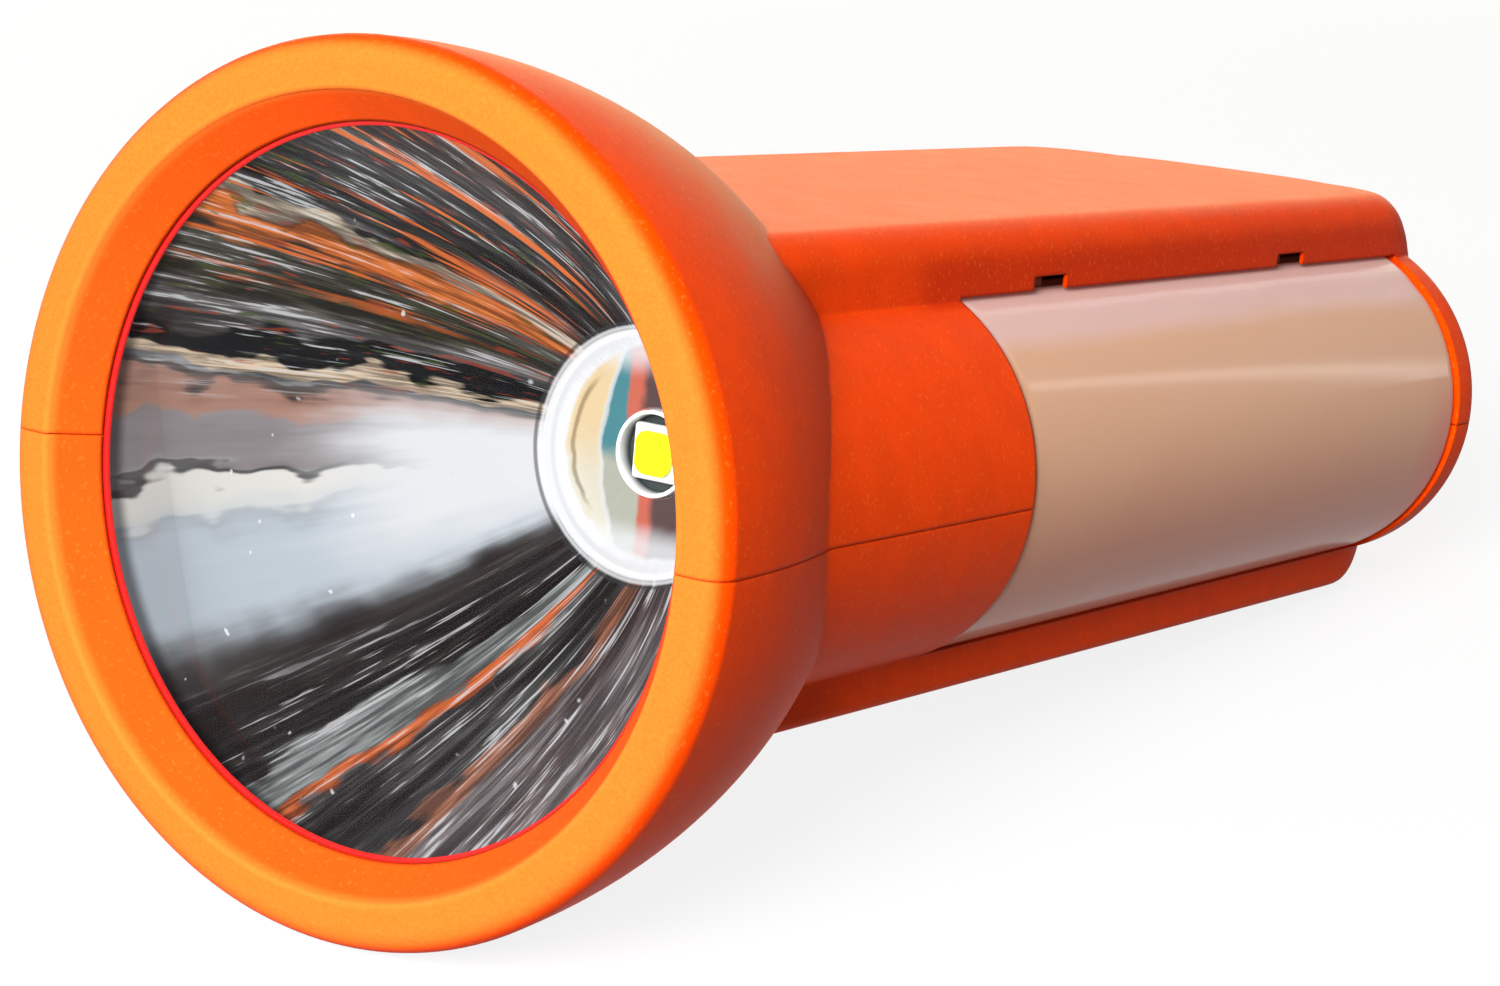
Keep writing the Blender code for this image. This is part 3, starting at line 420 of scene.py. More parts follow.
def ready(made, slot, body, *nodes, sharp=28, even=True, finish=None):
    """Smooth a finished piece, bring it into the model's frame, and hand it to its body."""
    if not made.data.polygons:
        raise RuntimeError(f"{made.name} came out empty")
    made.data.materials.clear()
    made.data.materials.append(finish_of(finish or slot))
    made.data.shade_smooth()
    made.data.set_sharp_from_angle(angle=radians(sharp))
    if even:
        made.modifiers.new("even", "WEIGHTED_NORMAL").keep_sharp = True
        settle(made)
    made.data.transform(BEAM)
    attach(made, body)
    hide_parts(*nodes)
    return made


# Shader maths
class Wire:
    """A shader socket that takes part in arithmetic."""

    def __init__(self, finish, socket):
        self.finish = finish
        self.socket = socket

    def maths(self, operation, one, two):
        return self.finish.node("ShaderNodeMath", {"operation": operation}, {0: one, 1: two})

    def __add__(self, other):
        return self.maths("ADD", self, other)

    def __radd__(self, other):
        return self.maths("ADD", other, self)

    def __sub__(self, other):
        return self.maths("SUBTRACT", self, other)

    def __rsub__(self, other):
        return self.maths("SUBTRACT", other, self)

    def __mul__(self, other):
        return self.maths("MULTIPLY", self, other)

    def __rmul__(self, other):
        return self.maths("MULTIPLY", other, self)

    def __truediv__(self, other):
        return self.maths("DIVIDE", self, other)

    def __abs__(self):
        return self.maths("ABSOLUTE", self, 0.0)


class Finish:
    """A material whose nodes come from expressions."""

    def __init__(self, name, **constants):
        self.material = bpy.data.materials.new(name)
        self.material.use_nodes = True
        self.tree = self.material.node_tree
        self.shader = self.tree.nodes["Principled BSDF"]
        for socket, value in constants.items():
            self.shader.inputs[socket.replace("_", " ")].default_value = value

    def node(self, kind, settings=None, sockets=None, out=0):
        """Add a node: its settings first, then the values or links of its sockets."""
        made = self.tree.nodes.new(kind)
        for key, value in (settings or {}).items():
            setattr(made, key, value)
        for key, value in (sockets or {}).items():
            self.link(value, made.inputs[key])
        return Wire(self, made.outputs[out])

    def link(self, value, socket):
        """Set a socket to a number or colour, or link a wire to it."""
        if isinstance(value, Wire):
            self.tree.links.new(value.socket, socket)
        else:
            socket.default_value = value

    def feed(self, socket, value):
        self.link(value, self.shader.inputs[socket])

    def place(self):
        return self.node("ShaderNodeTexCoord", out=3)

    def beam_place(self):
        """Object coordinates in the light's own frame."""
        return self.node("ShaderNodeMapping", {"vector_type": "POINT"},
                         {"Vector": self.place(), "Location": BEAM_BACK.to_translation(),
                          "Rotation": BEAM_BACK.to_euler()})

    def noise(self, vector, scale, detail=3.0, rough=0.5):
        return self.node("ShaderNodeTexNoise", {}, {"Vector": vector, "Scale": scale, "Detail": detail,
                                                    "Roughness": rough})

    def part(self, vector, axis):
        return self.node("ShaderNodeSeparateXYZ", {}, {0: vector}, out=axis)

    def vector(self, x, y, z):
        return self.node("ShaderNodeCombineXYZ", {}, {0: x, 1: y, 2: z})

    def range(self, value, low, high, to_low=0.0, to_high=1.0):
        return self.node("ShaderNodeMapRange", {"interpolation_type": "SMOOTHSTEP"},
                         {0: value, 1: low, 2: high, 3: to_low, 4: to_high})

    def mix(self, factor, one, two):
        colours = [c if isinstance(c, Wire) else (*c, 1.0) for c in (one, two)]
        return self.node("ShaderNodeMix", {"data_type": "RGBA"},
                         {0: factor, 6: colours[0], 7: colours[1]}, out=2)

    def bump(self, height, strength, distance, **sockets):
        return self.node("ShaderNodeBump", {}, {"Height": height, "Strength": strength, "Distance": distance,
                                                **sockets})


def shade(colour, factor):
    """A darker or lighter copy of a colour."""
    return tuple(min(1.0, c * factor) for c in colour)


def moulded(name, colour, roughness=0.45, grain=0.0004, depth=0.00004, spread=0.1, **constants):
    """Moulded plastic, rubber or metal with fine grain and slight unevenness of tone."""
    finish = Finish(name, **constants)
    place = finish.place()
    cloud = finish.noise(place, 70.0, 4.0)
    fine = finish.noise(place, 1.0 / grain, 2.0, 0.6)
    tone = finish.mix(cloud, shade(colour, 1 - spread), shade(colour, 1 + spread))
    finish.feed("Base Color", finish.mix(fine * 0.25, tone, shade(colour, 1 + 2 * spread)))
    finish.feed("Roughness", roughness - 0.08 + 0.16 * cloud)
    finish.feed("Normal", finish.bump(fine, 0.6, depth))
    return finish.material


def orange_plastic(sizes):
    """Orange moulding with fine spark grain, a painted highlight on the front ring and its lip, and painted shade
    beside the box.
    """
    finish = Finish("orange_plastic", Specular_IOR_Level=0.03)
    place = finish.place()
    along = finish.part(finish.beam_place(), 1)
    cloud = finish.noise(place, 160.0, 4.0, 0.55)
    fine = finish.noise(place, 1.0 / sizes.grain, 2.0, 0.65)
    speck = finish.range(finish.noise(place, 0.6 / sizes.grain, 1.0), 0.58, 0.75)
    base = finish.mix(finish.range(cloud, 0.3, 0.7), shade(sizes.orange, 0.95), shade(sizes.orange, 1.05))
    # Painted highlight: the ring's front face and the lip inside it are painted paler
    ring = 1.0 - finish.range(along, 0.0002, 0.0016)
    place_x, place_z = finish.part(finish.beam_place(), 0), finish.part(finish.beam_place(), 2)
    from_axis = finish.node("ShaderNodeVectorMath", {"operation": "LENGTH"},
                            {0: finish.vector(place_x, place_z, 0.0)}, out=1)
    mouth = sizes.head_radius - sizes.rim_width
    lip = finish.range(along, 0.008, 0.006) * finish.range(from_axis, mouth + MM, mouth) * 0.2
    base = finish.mix(lip + ring * (0.36 + 0.5 * fine), base, sizes.pale)
    # Painted shade: the corner where the box's wall meets the flank is painted deeper orange
    corner = finish.range(abs(abs(place_x) - sizes.box_half_width), 1.8 * MM, 0.4 * MM)
    corner = corner * finish.range(place_z, 0.031, 0.026) * finish.range(along, 0.058, 0.066)
    base = finish.mix(corner * 0.55, base, sizes.deep)
    finish.feed("Base Color", finish.mix(speck * 0.25, base, sizes.pale))
    finish.feed("Roughness", 0.38 + 0.12 * cloud + 0.06 * fine)
    soft = finish.node("ShaderNodeBevel", {"samples": 6}, {"Radius": 0.0007})
    finish.feed("Normal", finish.bump(fine, 0.35, 0.00006, Normal=soft))
    return finish.material


# Reflections painted on the mirror: angle from the right, half width and fade in degrees, share and colour
MIRRORED = (
    (100, 30, 8, 0.85, (0.030, 0.022, 0.018)), (139, 2.2, 2.0, 0.95, (0.90, 0.24, 0.05)),
    (134, 0.9, 1.0, 0.80, (0.80, 0.66, 0.50)), (148, 5.0, 3.0, 0.85, (0.060, 0.055, 0.030)),
    (158, 4.0, 3.0, 0.70, (0.14, 0.12, 0.11)), (163, 2.2, 1.5, 0.95, (0.006, 0.006, 0.006)),
    (167, 1.2, 0.8, 0.95, (0.92, 0.72, 0.52)), (171, 0.7, 0.8, 0.80, (0.10, 0.06, 0.05)),
    (175, 2.6, 1.2, 0.92, (0.52, 0.28, 0.21)), (183, 3.6, 3.0, 0.92, (0.34, 0.30, 0.31)),
    (189, 0.5, 0.6, 0.75, (0.06, 0.05, 0.05)), (193, 2.6, 1.2, 0.97, (0.96, 0.94, 0.88)),
    (197, 0.6, 1.5, 0.55, (0.30, 0.28, 0.25)), (207, 7, 10.0, 0.95, (0.66, 0.74, 0.82)),
    (232, 8, 13.0, 0.92, (0.030, 0.022, 0.020)), (246, 2.6, 2.0, 0.85, (0.40, 0.44, 0.44)),
    (252, 1.4, 1.0, 0.95, (0.90, 0.20, 0.05)), (262, 7.0, 3.0, 0.80, (0.040, 0.032, 0.030)),
    (272, 1.6, 1.5, 0.80, (0.55, 0.20, 0.10)), (288, 12, 6.0, 0.70, (0.14, 0.085, 0.080)),
)


def dish_tone(finish, sizes):
    """Painted reflections in the dish round the LED: a pale rim, a golden crescent and soft patches."""
    place = finish.beam_place()
    wobble = (finish.noise(place, 260.0, 2.0) - 0.5) * 1.6
    across = finish.part(place, 0) / MM + wobble
    up = finish.part(place, 2) / MM + wobble

    def away(shift):
        """Distance in millimetres from a point on the level of the LED."""
        return finish.node("ShaderNodeVectorMath", {"operation": "LENGTH"},
                           {0: finish.vector(across - shift, up, 0.0)}, out=1)

    radius, side = away(0.0), away(18.0)
    tone = finish.mix(finish.range(up, 0.5, -2.5), (0.085, 0.29, 0.33), (0.52, 0.53, 0.44))
    lean = across + 2.4 * finish.range(up, -3.0, 5.0)
    tone = finish.mix(finish.range(lean, -2.6, -1.8), tone, (0.70, 0.17, 0.11))
    tone = finish.mix(finish.range(lean, -0.8, 0.6), tone, (0.13, 0.08, 0.075))
    gold = finish.mix(finish.range(up, 3.0, -6.0), (0.88, 0.68, 0.40), (0.84, 0.80, 0.66))
    line = finish.range(abs(radius - 12.2), 0.5, 0.1) * finish.range(abs(up), 9.0, 6.0)
    gold = finish.mix(line * 0.6, gold, (0.20, 0.12, 0.05))
    tone = finish.mix(finish.range(side, 26.1, 26.7), tone, gold)
    tone = finish.mix(finish.range(abs(side - 26.3), 0.5, 0.1) * 0.6, tone, sizes.bright)
    tone = finish.mix(finish.range(abs(up), 8.5, 12.0) * 0.7, tone, sizes.bright)
    return finish.mix(finish.range(radius, 12.8, 13.5), tone, sizes.bright)


def mirror_finish(sizes):
    """Bright metal coating with painted reflections in streaks, running from the rim to the LED; they also glow as
    painted light.
    """
    finish = Finish("mirror_coating", Metallic=1.0, Emission_Strength=0.95)
    uv = finish.node("ShaderNodeUVMap", {"uv_map": "bowl"})
    depth = finish.part(uv, 1)
    angle = finish.part(uv, 0) * (2 * pi)
    round_x = finish.node("ShaderNodeMath", {"operation": "COSINE"}, {0: angle})
    round_y = finish.node("ShaderNodeMath", {"operation": "SINE"}, {0: angle})

    def streaks(width, drift, detail, offset=0.0):
        """Noise drawn out along the depth of the bowl."""
        where = finish.vector(round_x * width + offset, round_y * width, depth * drift)
        return finish.noise(where, 1.0, detail, 0.6)

    broad = streaks(7.0, 1.8, 3.0)
    swirl = streaks(3.0, 6.0, 2.0, 15.0)
    thin = streaks(30.0, 3.0, 4.0, 3.0)
    hair = streaks(95.0, 5.0, 2.0, 9.0)
    flecks = streaks(34.0, 7.0, 2.0, 31.0)
    turn = finish.part(uv, 0) * 360.0 + (broad - 0.5) * 14.0 + (swirl - 0.5) * 10.0 + (thin - 0.5) * 0.8

    def band(middle, half_width, fade):
        """1 within a band of angles in degrees, fading out at its edges."""
        return finish.range(abs(turn - middle), half_width + fade, half_width)

    colour = finish.mix(finish.range(broad + thin * 0.4, 0.55, 0.85), sizes.dark, shade(sizes.bright, 0.5))
    for middle, half_width, fade, share, tone in MIRRORED:
        colour = finish.mix(band(middle, half_width, fade) * share, colour, tone)
    busy = 1.0 - band(200.0, 24.0, 10.0)
    colour = finish.mix(finish.range(thin + (hair - 0.5) * 0.5, 0.60, 0.40) * busy * 0.7, colour, sizes.dark)
    sparks = finish.range(hair + (thin - 0.5) * 1.2, 0.64, 0.72) * busy
    colour = finish.mix(sparks * 0.75, colour, shade(sizes.bright, 0.8))
    lines = finish.range(streaks(26.0, 1.2, 3.0, 21.0), 0.57, 0.62) * band(110.0, 34.0, 8.0)
    colour = finish.mix(lines * finish.range(depth, 0.92, 0.80) * 0.8, colour, sizes.warm)
    red = finish.range(flecks, 0.62, 0.67) * band(135.0, 30.0, 8.0)
    colour = finish.mix(red * 0.5, colour, (0.45, 0.07, 0.03))
    green = finish.range(flecks, 0.38, 0.33) * band(140.0, 24.0, 8.0)
    colour = finish.mix(green * 0.7, colour, (0.06, 0.09, 0.02))
    glow = finish.range(depth + (broad - 0.5) * 0.4, 0.36, 0.72) * band(193.0, 10.0, 18.0)
    colour = finish.mix(glow, colour, sizes.bright)
    # Painted shade along the front rim of the bowl, beside the seal
    colour = finish.mix(finish.range(depth, 0.03, 0.0) * 0.7, colour, sizes.dark)
    outline = finish.range(abs(depth - 0.911), 0.005, 0.0015)
    colour = finish.mix(outline * 0.7, colour, shade(sizes.bright, 0.06))
    colour = finish.mix(finish.range(depth, 0.914, 0.920), colour, dish_tone(finish, sizes))
    finish.feed("Base Color", finish.mix(0.75, colour, sizes.dark))
    # The painted reflections also glow through the emission, as painted light
    finish.feed("Emission Color", colour)
    finish.feed("Roughness", 0.14 + 0.16 * thin)
    finish.feed("Normal", finish.bump(broad + thin * 0.4, 0.3, 0.0006))
    return finish.material


def clear_plastic(sizes):
    """Clear lens: nearly see-through, with gloss, dust and a few fine scratches."""
    finish = Finish("clear_plastic", Specular_IOR_Level=0.5)
    place = finish.beam_place()
    rim = finish.node("ShaderNodeFresnel", {}, {"IOR": 1.45})
    across, up = finish.part(place, 0), finish.part(place, 2)
    scratch = finish.noise(finish.vector(across * 60.0 + up * 25.0, 0.0, up * 700.0), 1.0, 3.0)
    dust = finish.range(finish.noise(place, 420.0, 1.0), 0.755, 0.80)
    marks = finish.range(scratch, 0.74, 0.82) * 0.3 + dust
    finish.feed("Base Color", finish.mix(dust, sizes.tint, shade(sizes.bright, 0.6)))
    finish.feed("Alpha", 0.02 + 0.35 * rim + 0.40 * marks)
    finish.feed("Roughness", 0.03 + 0.30 * marks)
    return finish.material


def collar_finish(sizes):
    """White ring round the LED, with painted shade on the floor inside its crest."""
    finish = Finish("collar_plastic")
    place = finish.beam_place()
    flat = finish.vector(finish.part(place, 0), 0.0, finish.part(place, 2))
    radius = finish.node("ShaderNodeVectorMath", {"operation": "LENGTH"}, {0: flat}, out=1)
    grain = finish.noise(place, 900.0, 2.0)
    pale = finish.mix(grain, shade(sizes.bright, 0.82), sizes.bright)
    crest = sizes.collar_radius - sizes.collar_crest
    # Painted shade: nearly black inside the crest
    inside = finish.range(radius, crest, crest - 0.1 * MM)
    finish.feed("Base Color", finish.mix(inside, pale, (0.035, 0.045, 0.045)))
    finish.feed("Roughness", 0.3 + 0.2 * grain)
    return finish.material


def milky_plastic(sizes):
    """Milky lantern panel: pinkish white, with a painted highlight on its upper strip, warmer and darker towards
    its lower edge as partly its own tone and partly painted shade.
    """
    # The faint emission is a painted glow standing in for light through the panel
    finish = Finish("milky_plastic", Coat_Roughness=0.10, Coat_Weight=0.25, Specular_IOR_Level=0.05,
                    Subsurface_Weight=0.2, Subsurface_Scale=0.004, Emission_Strength=0.08)
    place = finish.place()
    height = finish.part(finish.beam_place(), 2)
    cloud = finish.noise(place, 38.0, 3.0)
    # Darker towards the bottom, partly the panel's own tone and partly painted shade; the upper strip is a painted
    # highlight
    low = finish.range(height + (cloud - 0.5) * 0.006, 0.008, -0.018)
    top = finish.range(height + (cloud - 0.5) * 0.003, 0.0165, 0.0195)
    base = finish.mix(top, finish.mix(low, sizes.milky, sizes.milky_low), sizes.milky_top)
    across, along = finish.part(finish.beam_place(), 0), finish.part(finish.beam_place(), 1)
    end = finish.range(along + (cloud - 0.5) * 0.01, PANEL[1].y - 0.014, PANEL[1].y)
    base = finish.mix(end * finish.range(height, 0.012, -0.004) * 0.8, base, sizes.milky_end)
    # Painted shade: the snap tabs in their windows are painted dark
    tab = BOX_HALF_WIDTH - sizes.tab_setback
    base = finish.mix(finish.range(across, tab + 0.5 * MM, tab), base, sizes.tab_shade)
    finish.feed("Base Color", base)
    finish.feed("Emission Color", base)
    finish.feed("Roughness", 0.30 + 0.14 * cloud)
    finish.feed("Normal", finish.bump(finish.noise(place, 160.0, 2.0), 0.12, 0.0002))
    return finish.material


def led_finish(name, colour):
    """Phosphor: bright, slightly grainy."""
    finish = Finish(name, Emission_Strength=0.35, Roughness=0.5)
    grain = finish.noise(finish.place(), 2600.0, 2.0)
    tone = finish.mix(grain, shade(colour, 0.85), shade(colour, 1.12))
    finish.feed("Base Color", tone)
    finish.feed("Emission Color", tone)
    return finish.material


def board_finish(name, colour, copper):
    """Circuit board with traces in rows."""
    finish = Finish(name)
    wave = finish.node("ShaderNodeTexWave", {"bands_direction": "Z"},
                       {"Vector": finish.beam_place(), "Scale": 160.0, "Distortion": 3.0, "Detail": 1.0})
    finish.feed("Base Color", finish.mix(finish.range(wave, 0.72, 0.80), colour, copper))
    finish.feed("Roughness", 0.35 + 0.2 * wave)
    return finish.material


FINISHES = {}


def finish_of(name):
    """A finish by its slot name, made on first use."""
    scene = bpy.context.scene
    head, lantern = scene.torch_head, scene.torch_lantern
    makers = {
        "orange_plastic": lambda: orange_plastic(scene.torch_housing),
        "clear_plastic": lambda: clear_plastic(head),
        "red_rubber": lambda: moulded("red_rubber", head.seal, 0.4, 0.0005),
        "mirror": lambda: mirror_finish(head),
        "collar": lambda: collar_finish(head),
        "white_plastic": lambda: moulded("white_plastic", (0.78, 0.78, 0.75), 0.35, spread=0.05),
        "phosphor": lambda: led_finish("phosphor", head.phosphor),
        "milky_plastic": lambda: milky_plastic(lantern),
        "bare_aluminium": lambda: moulded("bare_aluminium", (0.68, 0.69, 0.71), 0.38, 0.0006, Metallic=1.0),
        "steel": lambda: moulded("steel", (0.56, 0.56, 0.57), 0.3, 0.0008, Metallic=1.0),
        "black_plastic": lambda: moulded("black_plastic", (0.022, 0.022, 0.024), 0.45, spread=0.25),
        "black_rubber": lambda: moulded("black_rubber", (0.018, 0.018, 0.018), 0.65, 0.0006, 0.00006, 0.25),
        "foam": lambda: moulded("foam", (0.03, 0.03, 0.032), 0.9, 0.0011, 0.0004, 0.4),
        "green_board": lambda: board_finish("green_board", (0.012, 0.13, 0.05), (0.03, 0.22, 0.08)),
        "white_board": lambda: board_finish("white_board", (0.74, 0.74, 0.72), (0.60, 0.60, 0.57)),
        "red_light": lambda: moulded("red_light", (0.62, 0.02, 0.015), 0.12, spread=0.15, Coat_Weight=0.5),
    }
    if name not in FINISHES:
        FINISHES[name] = makers[name]()
    return FINISHES[name]


# Geometry Nodes
def copies_tree(name, in_line):
    """Node group that sets copies of a piece along a line, or on the points it is given."""
    tree = bpy.data.node_groups.new(name, "GeometryNodeTree")
    face = tree.interface
    face.new_socket("Geometry", in_out="OUTPUT", socket_type="NodeSocketGeometry")
    kinds = [("Places", "Geometry"), ("Piece", "Object"), ("Finish", "Material"), ("Turn", "Float")]
    if in_line:
        kinds += [("Count", "Int"), ("Start", "Vector"), ("Step", "Vector")]
    for label, kind in kinds:
        face.new_socket(label, in_out="INPUT", socket_type=f"NodeSocket{kind}")
    nodes, links = tree.nodes, tree.links
    given = nodes.new("NodeGroupInput").outputs
    places = given["Places"]
    if in_line:
        line = nodes.new("GeometryNodeMeshLine")
        line.mode = "OFFSET"
        links.new(given["Count"], line.inputs["Count"])
        links.new(given["Start"], line.inputs["Start Location"])
        links.new(given["Step"], line.inputs["Offset"])
        places = line.outputs[0]
    piece = nodes.new("GeometryNodeObjectInfo")
    links.new(given["Piece"], piece.inputs["Object"])
    turn = nodes.new("ShaderNodeMath")
    turn.operation = "MULTIPLY"
    links.new(nodes.new("GeometryNodeInputIndex").outputs[0], turn.inputs[0])
    links.new(given["Turn"], turn.inputs[1])
    euler = nodes.new("ShaderNodeCombineXYZ")
    links.new(turn.outputs[0], euler.inputs["Z"])
    rotation = nodes.new("FunctionNodeEulerToRotation")
    links.new(euler.outputs[0], rotation.inputs[0])
    copied = nodes.new("GeometryNodeInstanceOnPoints")
    links.new(places, copied.inputs["Points"])
    links.new(piece.outputs["Geometry"], copied.inputs["Instance"])
    links.new(rotation.outputs[0], copied.inputs["Rotation"])
    solid = nodes.new("GeometryNodeRealizeInstances")
    links.new(copied.outputs[0], solid.inputs[0])
    painted = nodes.new("GeometryNodeSetMaterial")
    links.new(solid.outputs[0], painted.inputs["Geometry"])
    links.new(given["Finish"], painted.inputs["Material"])
    links.new(painted.outputs[0], nodes.new("NodeGroupOutput").inputs[0])
    return tree


def copies(name, piece, slot, places=(), turn=0.0, count=0, start=None, step=None):
    """Run the copying node group once and keep its result as a plain mesh."""
    in_line = count > 0
    tree = copies_tree(name, in_line)
    mesh = bpy.data.meshes.new(name)
    mesh.from_pydata([tuple(p) for p in places], [], [])
    made = bpy.data.objects.new(name, mesh)
    bpy.context.scene.collection.objects.link(made)
    modifier = made.modifiers.new("copies", "NODES")
    modifier.node_group = tree
    values = {"Piece": piece, "Finish": finish_of(slot), "Turn": turn}
    if in_line:
        values.update({"Count": count, "Start": tuple(start), "Step": tuple(step)})
    for item in tree.interface.items_tree:
        if item.in_out == "INPUT" and item.name in values:
            modifier[item.identifier] = values[item.name]
    settle(made)
    bpy.data.objects.remove(piece)
    bpy.data.node_groups.remove(tree)
    return made


# Housing
def switch_place():
    """Frame of the slide switch: X out of the far flank, Y along the body."""
    house, switch = bpy.context.scene.torch_housing, bpy.context.scene.torch_switch
    return (Matrix.Translation((-house.flank_offset, switch.place, house.flank_height))
            @ Matrix.Rotation(pi + switch.angle, 4, "Y"))


def hinge_place():
    """Axis of the port's flap in the light's own frame."""
    joint = next(j for j in frame["joints"] if j["name"] == "cover_hinge")
    return BEAM_BACK @ Vector(joint["pos_m"])


def clip_level():
    """Height of the window's upper edge, under the snap tabs."""
    return PANEL[1].z + GAP - bpy.context.scene.torch_housing.clip_height


def clip_places():
    """Snap tabs along the panel, read from the highest points of its CAD node."""
    along = sorted(p.y for p in corners("diffuser_panel") if p.z > PANEL[1].z - GAP)
    middle = (along[0] + along[-1]) / 2
    groups = [[y for y in along if y < middle], [y for y in along if y > middle]]
    return [(min(g) + max(g)) / 2 for g in groups]


def screw_places():
    """Lowest points of the case screws on their axes."""
    boxes = [span(f"case_screw_{i}") for i in range(1, 5)]
    return [((low.x + high.x) / 2, (low.y + high.y) / 2, low.z) for low, high in boxes]


def bell_profile(h, inset, start, end, points):
    """Elliptical flare of the head, from front to rear."""
    length, radius = h.bell_length - inset, h.head_radius - inset
    steps = [start + (end - start) * i / (points - 1) for i in range(points)]
    return [(y, radius * sqrt(1 - (y / length) ** 2)) for y in steps]


def d_plan(half_width, front, rear, rounding, edge, rear_edge, fullness, points=65):
    """Plan with straight flanks and a full, rounded rear end, whose edge rounding widens there."""
    plan = [((-half_width, front), (-1, 0), edge), ((half_width, front), (1, 0), edge)]
    for c, s in arc((0, 0), 1, 0, pi, points):
        a, b = (1 if c > 0 else -1) * abs(c) ** (2 / fullness), abs(s) ** (2 / fullness)
        slope_a = (1 if c > 0 else -1) * abs(a) ** (fullness - 1)
        out = Vector((slope_a / half_width, b ** (fullness - 1) / rounding)).normalized()
        share = min(1.0, s / 0.5)
        width = edge + (rear_edge - edge) * share ** 2 * (3 - 2 * share)
        plan.append(((half_width * a, rear - rounding + rounding * b), out, width))
    return plan


def flank(h, name, side, inset):
    """Round flank with a rounded rear end."""
    radius, rear = h.flank_radius - inset, h.flank_rear - inset
    corner = arc((rear - h.flank_round, radius - h.flank_round), h.flank_round, pi / 2, 0, 11)
    front = h.body_front + inset + 2 * MM
    return revolve(name, [(front, 0), (front, radius)] + corner + [(rear, 0)], 128,
                   (side * h.flank_offset, 0, h.flank_height))


def body_forms(h, inset):
    """Core with its box top, both flanks and the foot, grown inwards by the inset."""
    front = h.body_front + inset
    plan = d_plan(h.box_half_width - inset, front, h.body_rear - inset, h.rear_round - inset,
                  h.box_round - inset, h.box_end_round - inset, h.end_fullness)
    core = rounded_prism("core", plan, inset - h.core_depth, h.box_top - inset)
    plan = d_plan(h.foot_half_width - inset, front + MM, h.foot_rear - inset, h.foot_round - inset,
                  max(0.1 * MM, h.foot_edge - inset), h.foot_end_edge - inset, h.end_fullness)
    foot = rounded_prism("foot", plan, h.flank_height - h.flank_radius / 2, inset - h.foot_depth)
    return [core, foot, flank(h, "near", 1, inset), flank(h, "far", -1, inset)]


def whole_housing(h):
    """Outer skin less its hollow, before it is parted."""
    steps = 192
    rear = h.bell_length - h.bell_cut
    mouth = h.head_radius - h.rim_width
    throat = mouth - h.lip_taper
    lip = SEAL[0].y - GAP
    rim = arc((INSIDE + h.rim_round, h.head_radius - h.rim_round), h.rim_round, pi, pi / 2, 13)
    skin = revolve("skin", [(INSIDE, 0)] + rim + bell_profile(h, 0, 2 * h.rim_round, rear, 41) + [(rear, 0)],
                   steps)
    combine(skin, "UNION", *body_forms(h, 0))
    edge = arc((INSIDE + h.lip_round, mouth + h.lip_round), h.lip_round, 1.1 * pi, 1.5 * pi, 6)
    seat = LENS[1].x + GAP
    seat_rear = BOWL[0].y + bpy.context.scene.torch_head.flange + GAP
    ledge = seat_rear + 2 * MM
    stack = ([(-MM, 0), (-MM, edge[0][1] + MM)] + edge
             + [(lip, throat), (lip, seat), (seat_rear, seat),
                (seat_rear, throat + MM), (ledge, throat + MM)])
    hollow = revolve("hollow", stack + bell_profile(h, h.wall, ledge, rear, 13) + [(rear, 0)], steps)
    combine(hollow, "UNION", *body_forms(h, h.wall))
    return combine(skin, "DIFFERENCE", hollow)


def half(h, shell, name, upper):
    """One half of the housing, on its side of the parting line."""
    made = bpy.data.objects.new(name, shell.data.copy())
    bpy.context.scene.collection.objects.link(made)
    reach = 2 * h.body_rear
    low, high = (-reach, h.parting / 2) if upper else (-h.parting / 2, reach)
    return combine(made, "DIFFERENCE", block("off", (-reach, -reach, low), (reach, reach, high)))


def window(h):
    """Opening in the near flank for the lantern panel."""
    return block("window", (PANEL[0].x, PANEL[0].y - GAP, PANEL[0].z - GAP),
                 (2 * h.box_half_width, PANEL[1].y + GAP, clip_level()))


def clip_cuts(h):
    """Windows for the panel's snap tabs, with the wall thinned from inside behind each."""
    low, high, deep = clip_level() - MM, clip_level() + h.clip_height, h.box_half_width - 2 * h.wall
    cuts = []
    for y in clip_places():
        start, end = y - h.clip_width / 2, y + h.clip_width / 2
        cuts.append(block("clip", (deep, start, low), (2 * h.box_half_width, end, high)))
        thinned = (h.box_half_width - h.clip_wall, end + 2 * h.wall, high)
        cuts.append(block("behind", (deep, start + GAP, low), thinned))
    return cuts


def switch_cuts(h, s):
    """Pocket and slot that the slide switch runs in."""
    run = s.knob_length / 2 + s.travel + GAP
    rise = s.knob_height / 2 + GAP
    floor = h.flank_radius - s.pocket
    pocket = block("pocket", (floor, -run, -rise), (2 * h.flank_radius, run, rise), switch_place())
    slot = block("slot", (floor - 2 * h.wall, -s.slot_length / 2, -s.slot_height / 2),
                 (h.flank_radius, s.slot_length / 2, s.slot_height / 2), switch_place())
    return pocket, slot


def port_cuts(h, p):
    """Pocket for the port's flap, the socket's hole, the hinge pin's seat and the charge lamp's hole."""
    floor = h.body_rear - p.depth
    pocket = block("pocket", (-p.half, floor, p.height - p.half),
                   (p.half, 2 * h.body_rear, p.height + p.half))
    hole = cylinder("hole", floor - 2 * h.wall, h.body_rear, p.hole, 64, (0, 0, p.height))
    seat = cylinder("seat", -p.pin_reach, p.pin_reach, p.pin_hole, 24, hinge_place(), "X")
    lamp = cylinder("lamp", LAMP[0].y - MM, 2 * h.body_rear, p.lamp_hole, 32,
                    ((LAMP[0].x + LAMP[1].x) / 2, 0, p.height))
    return pocket, hole, seat, lamp


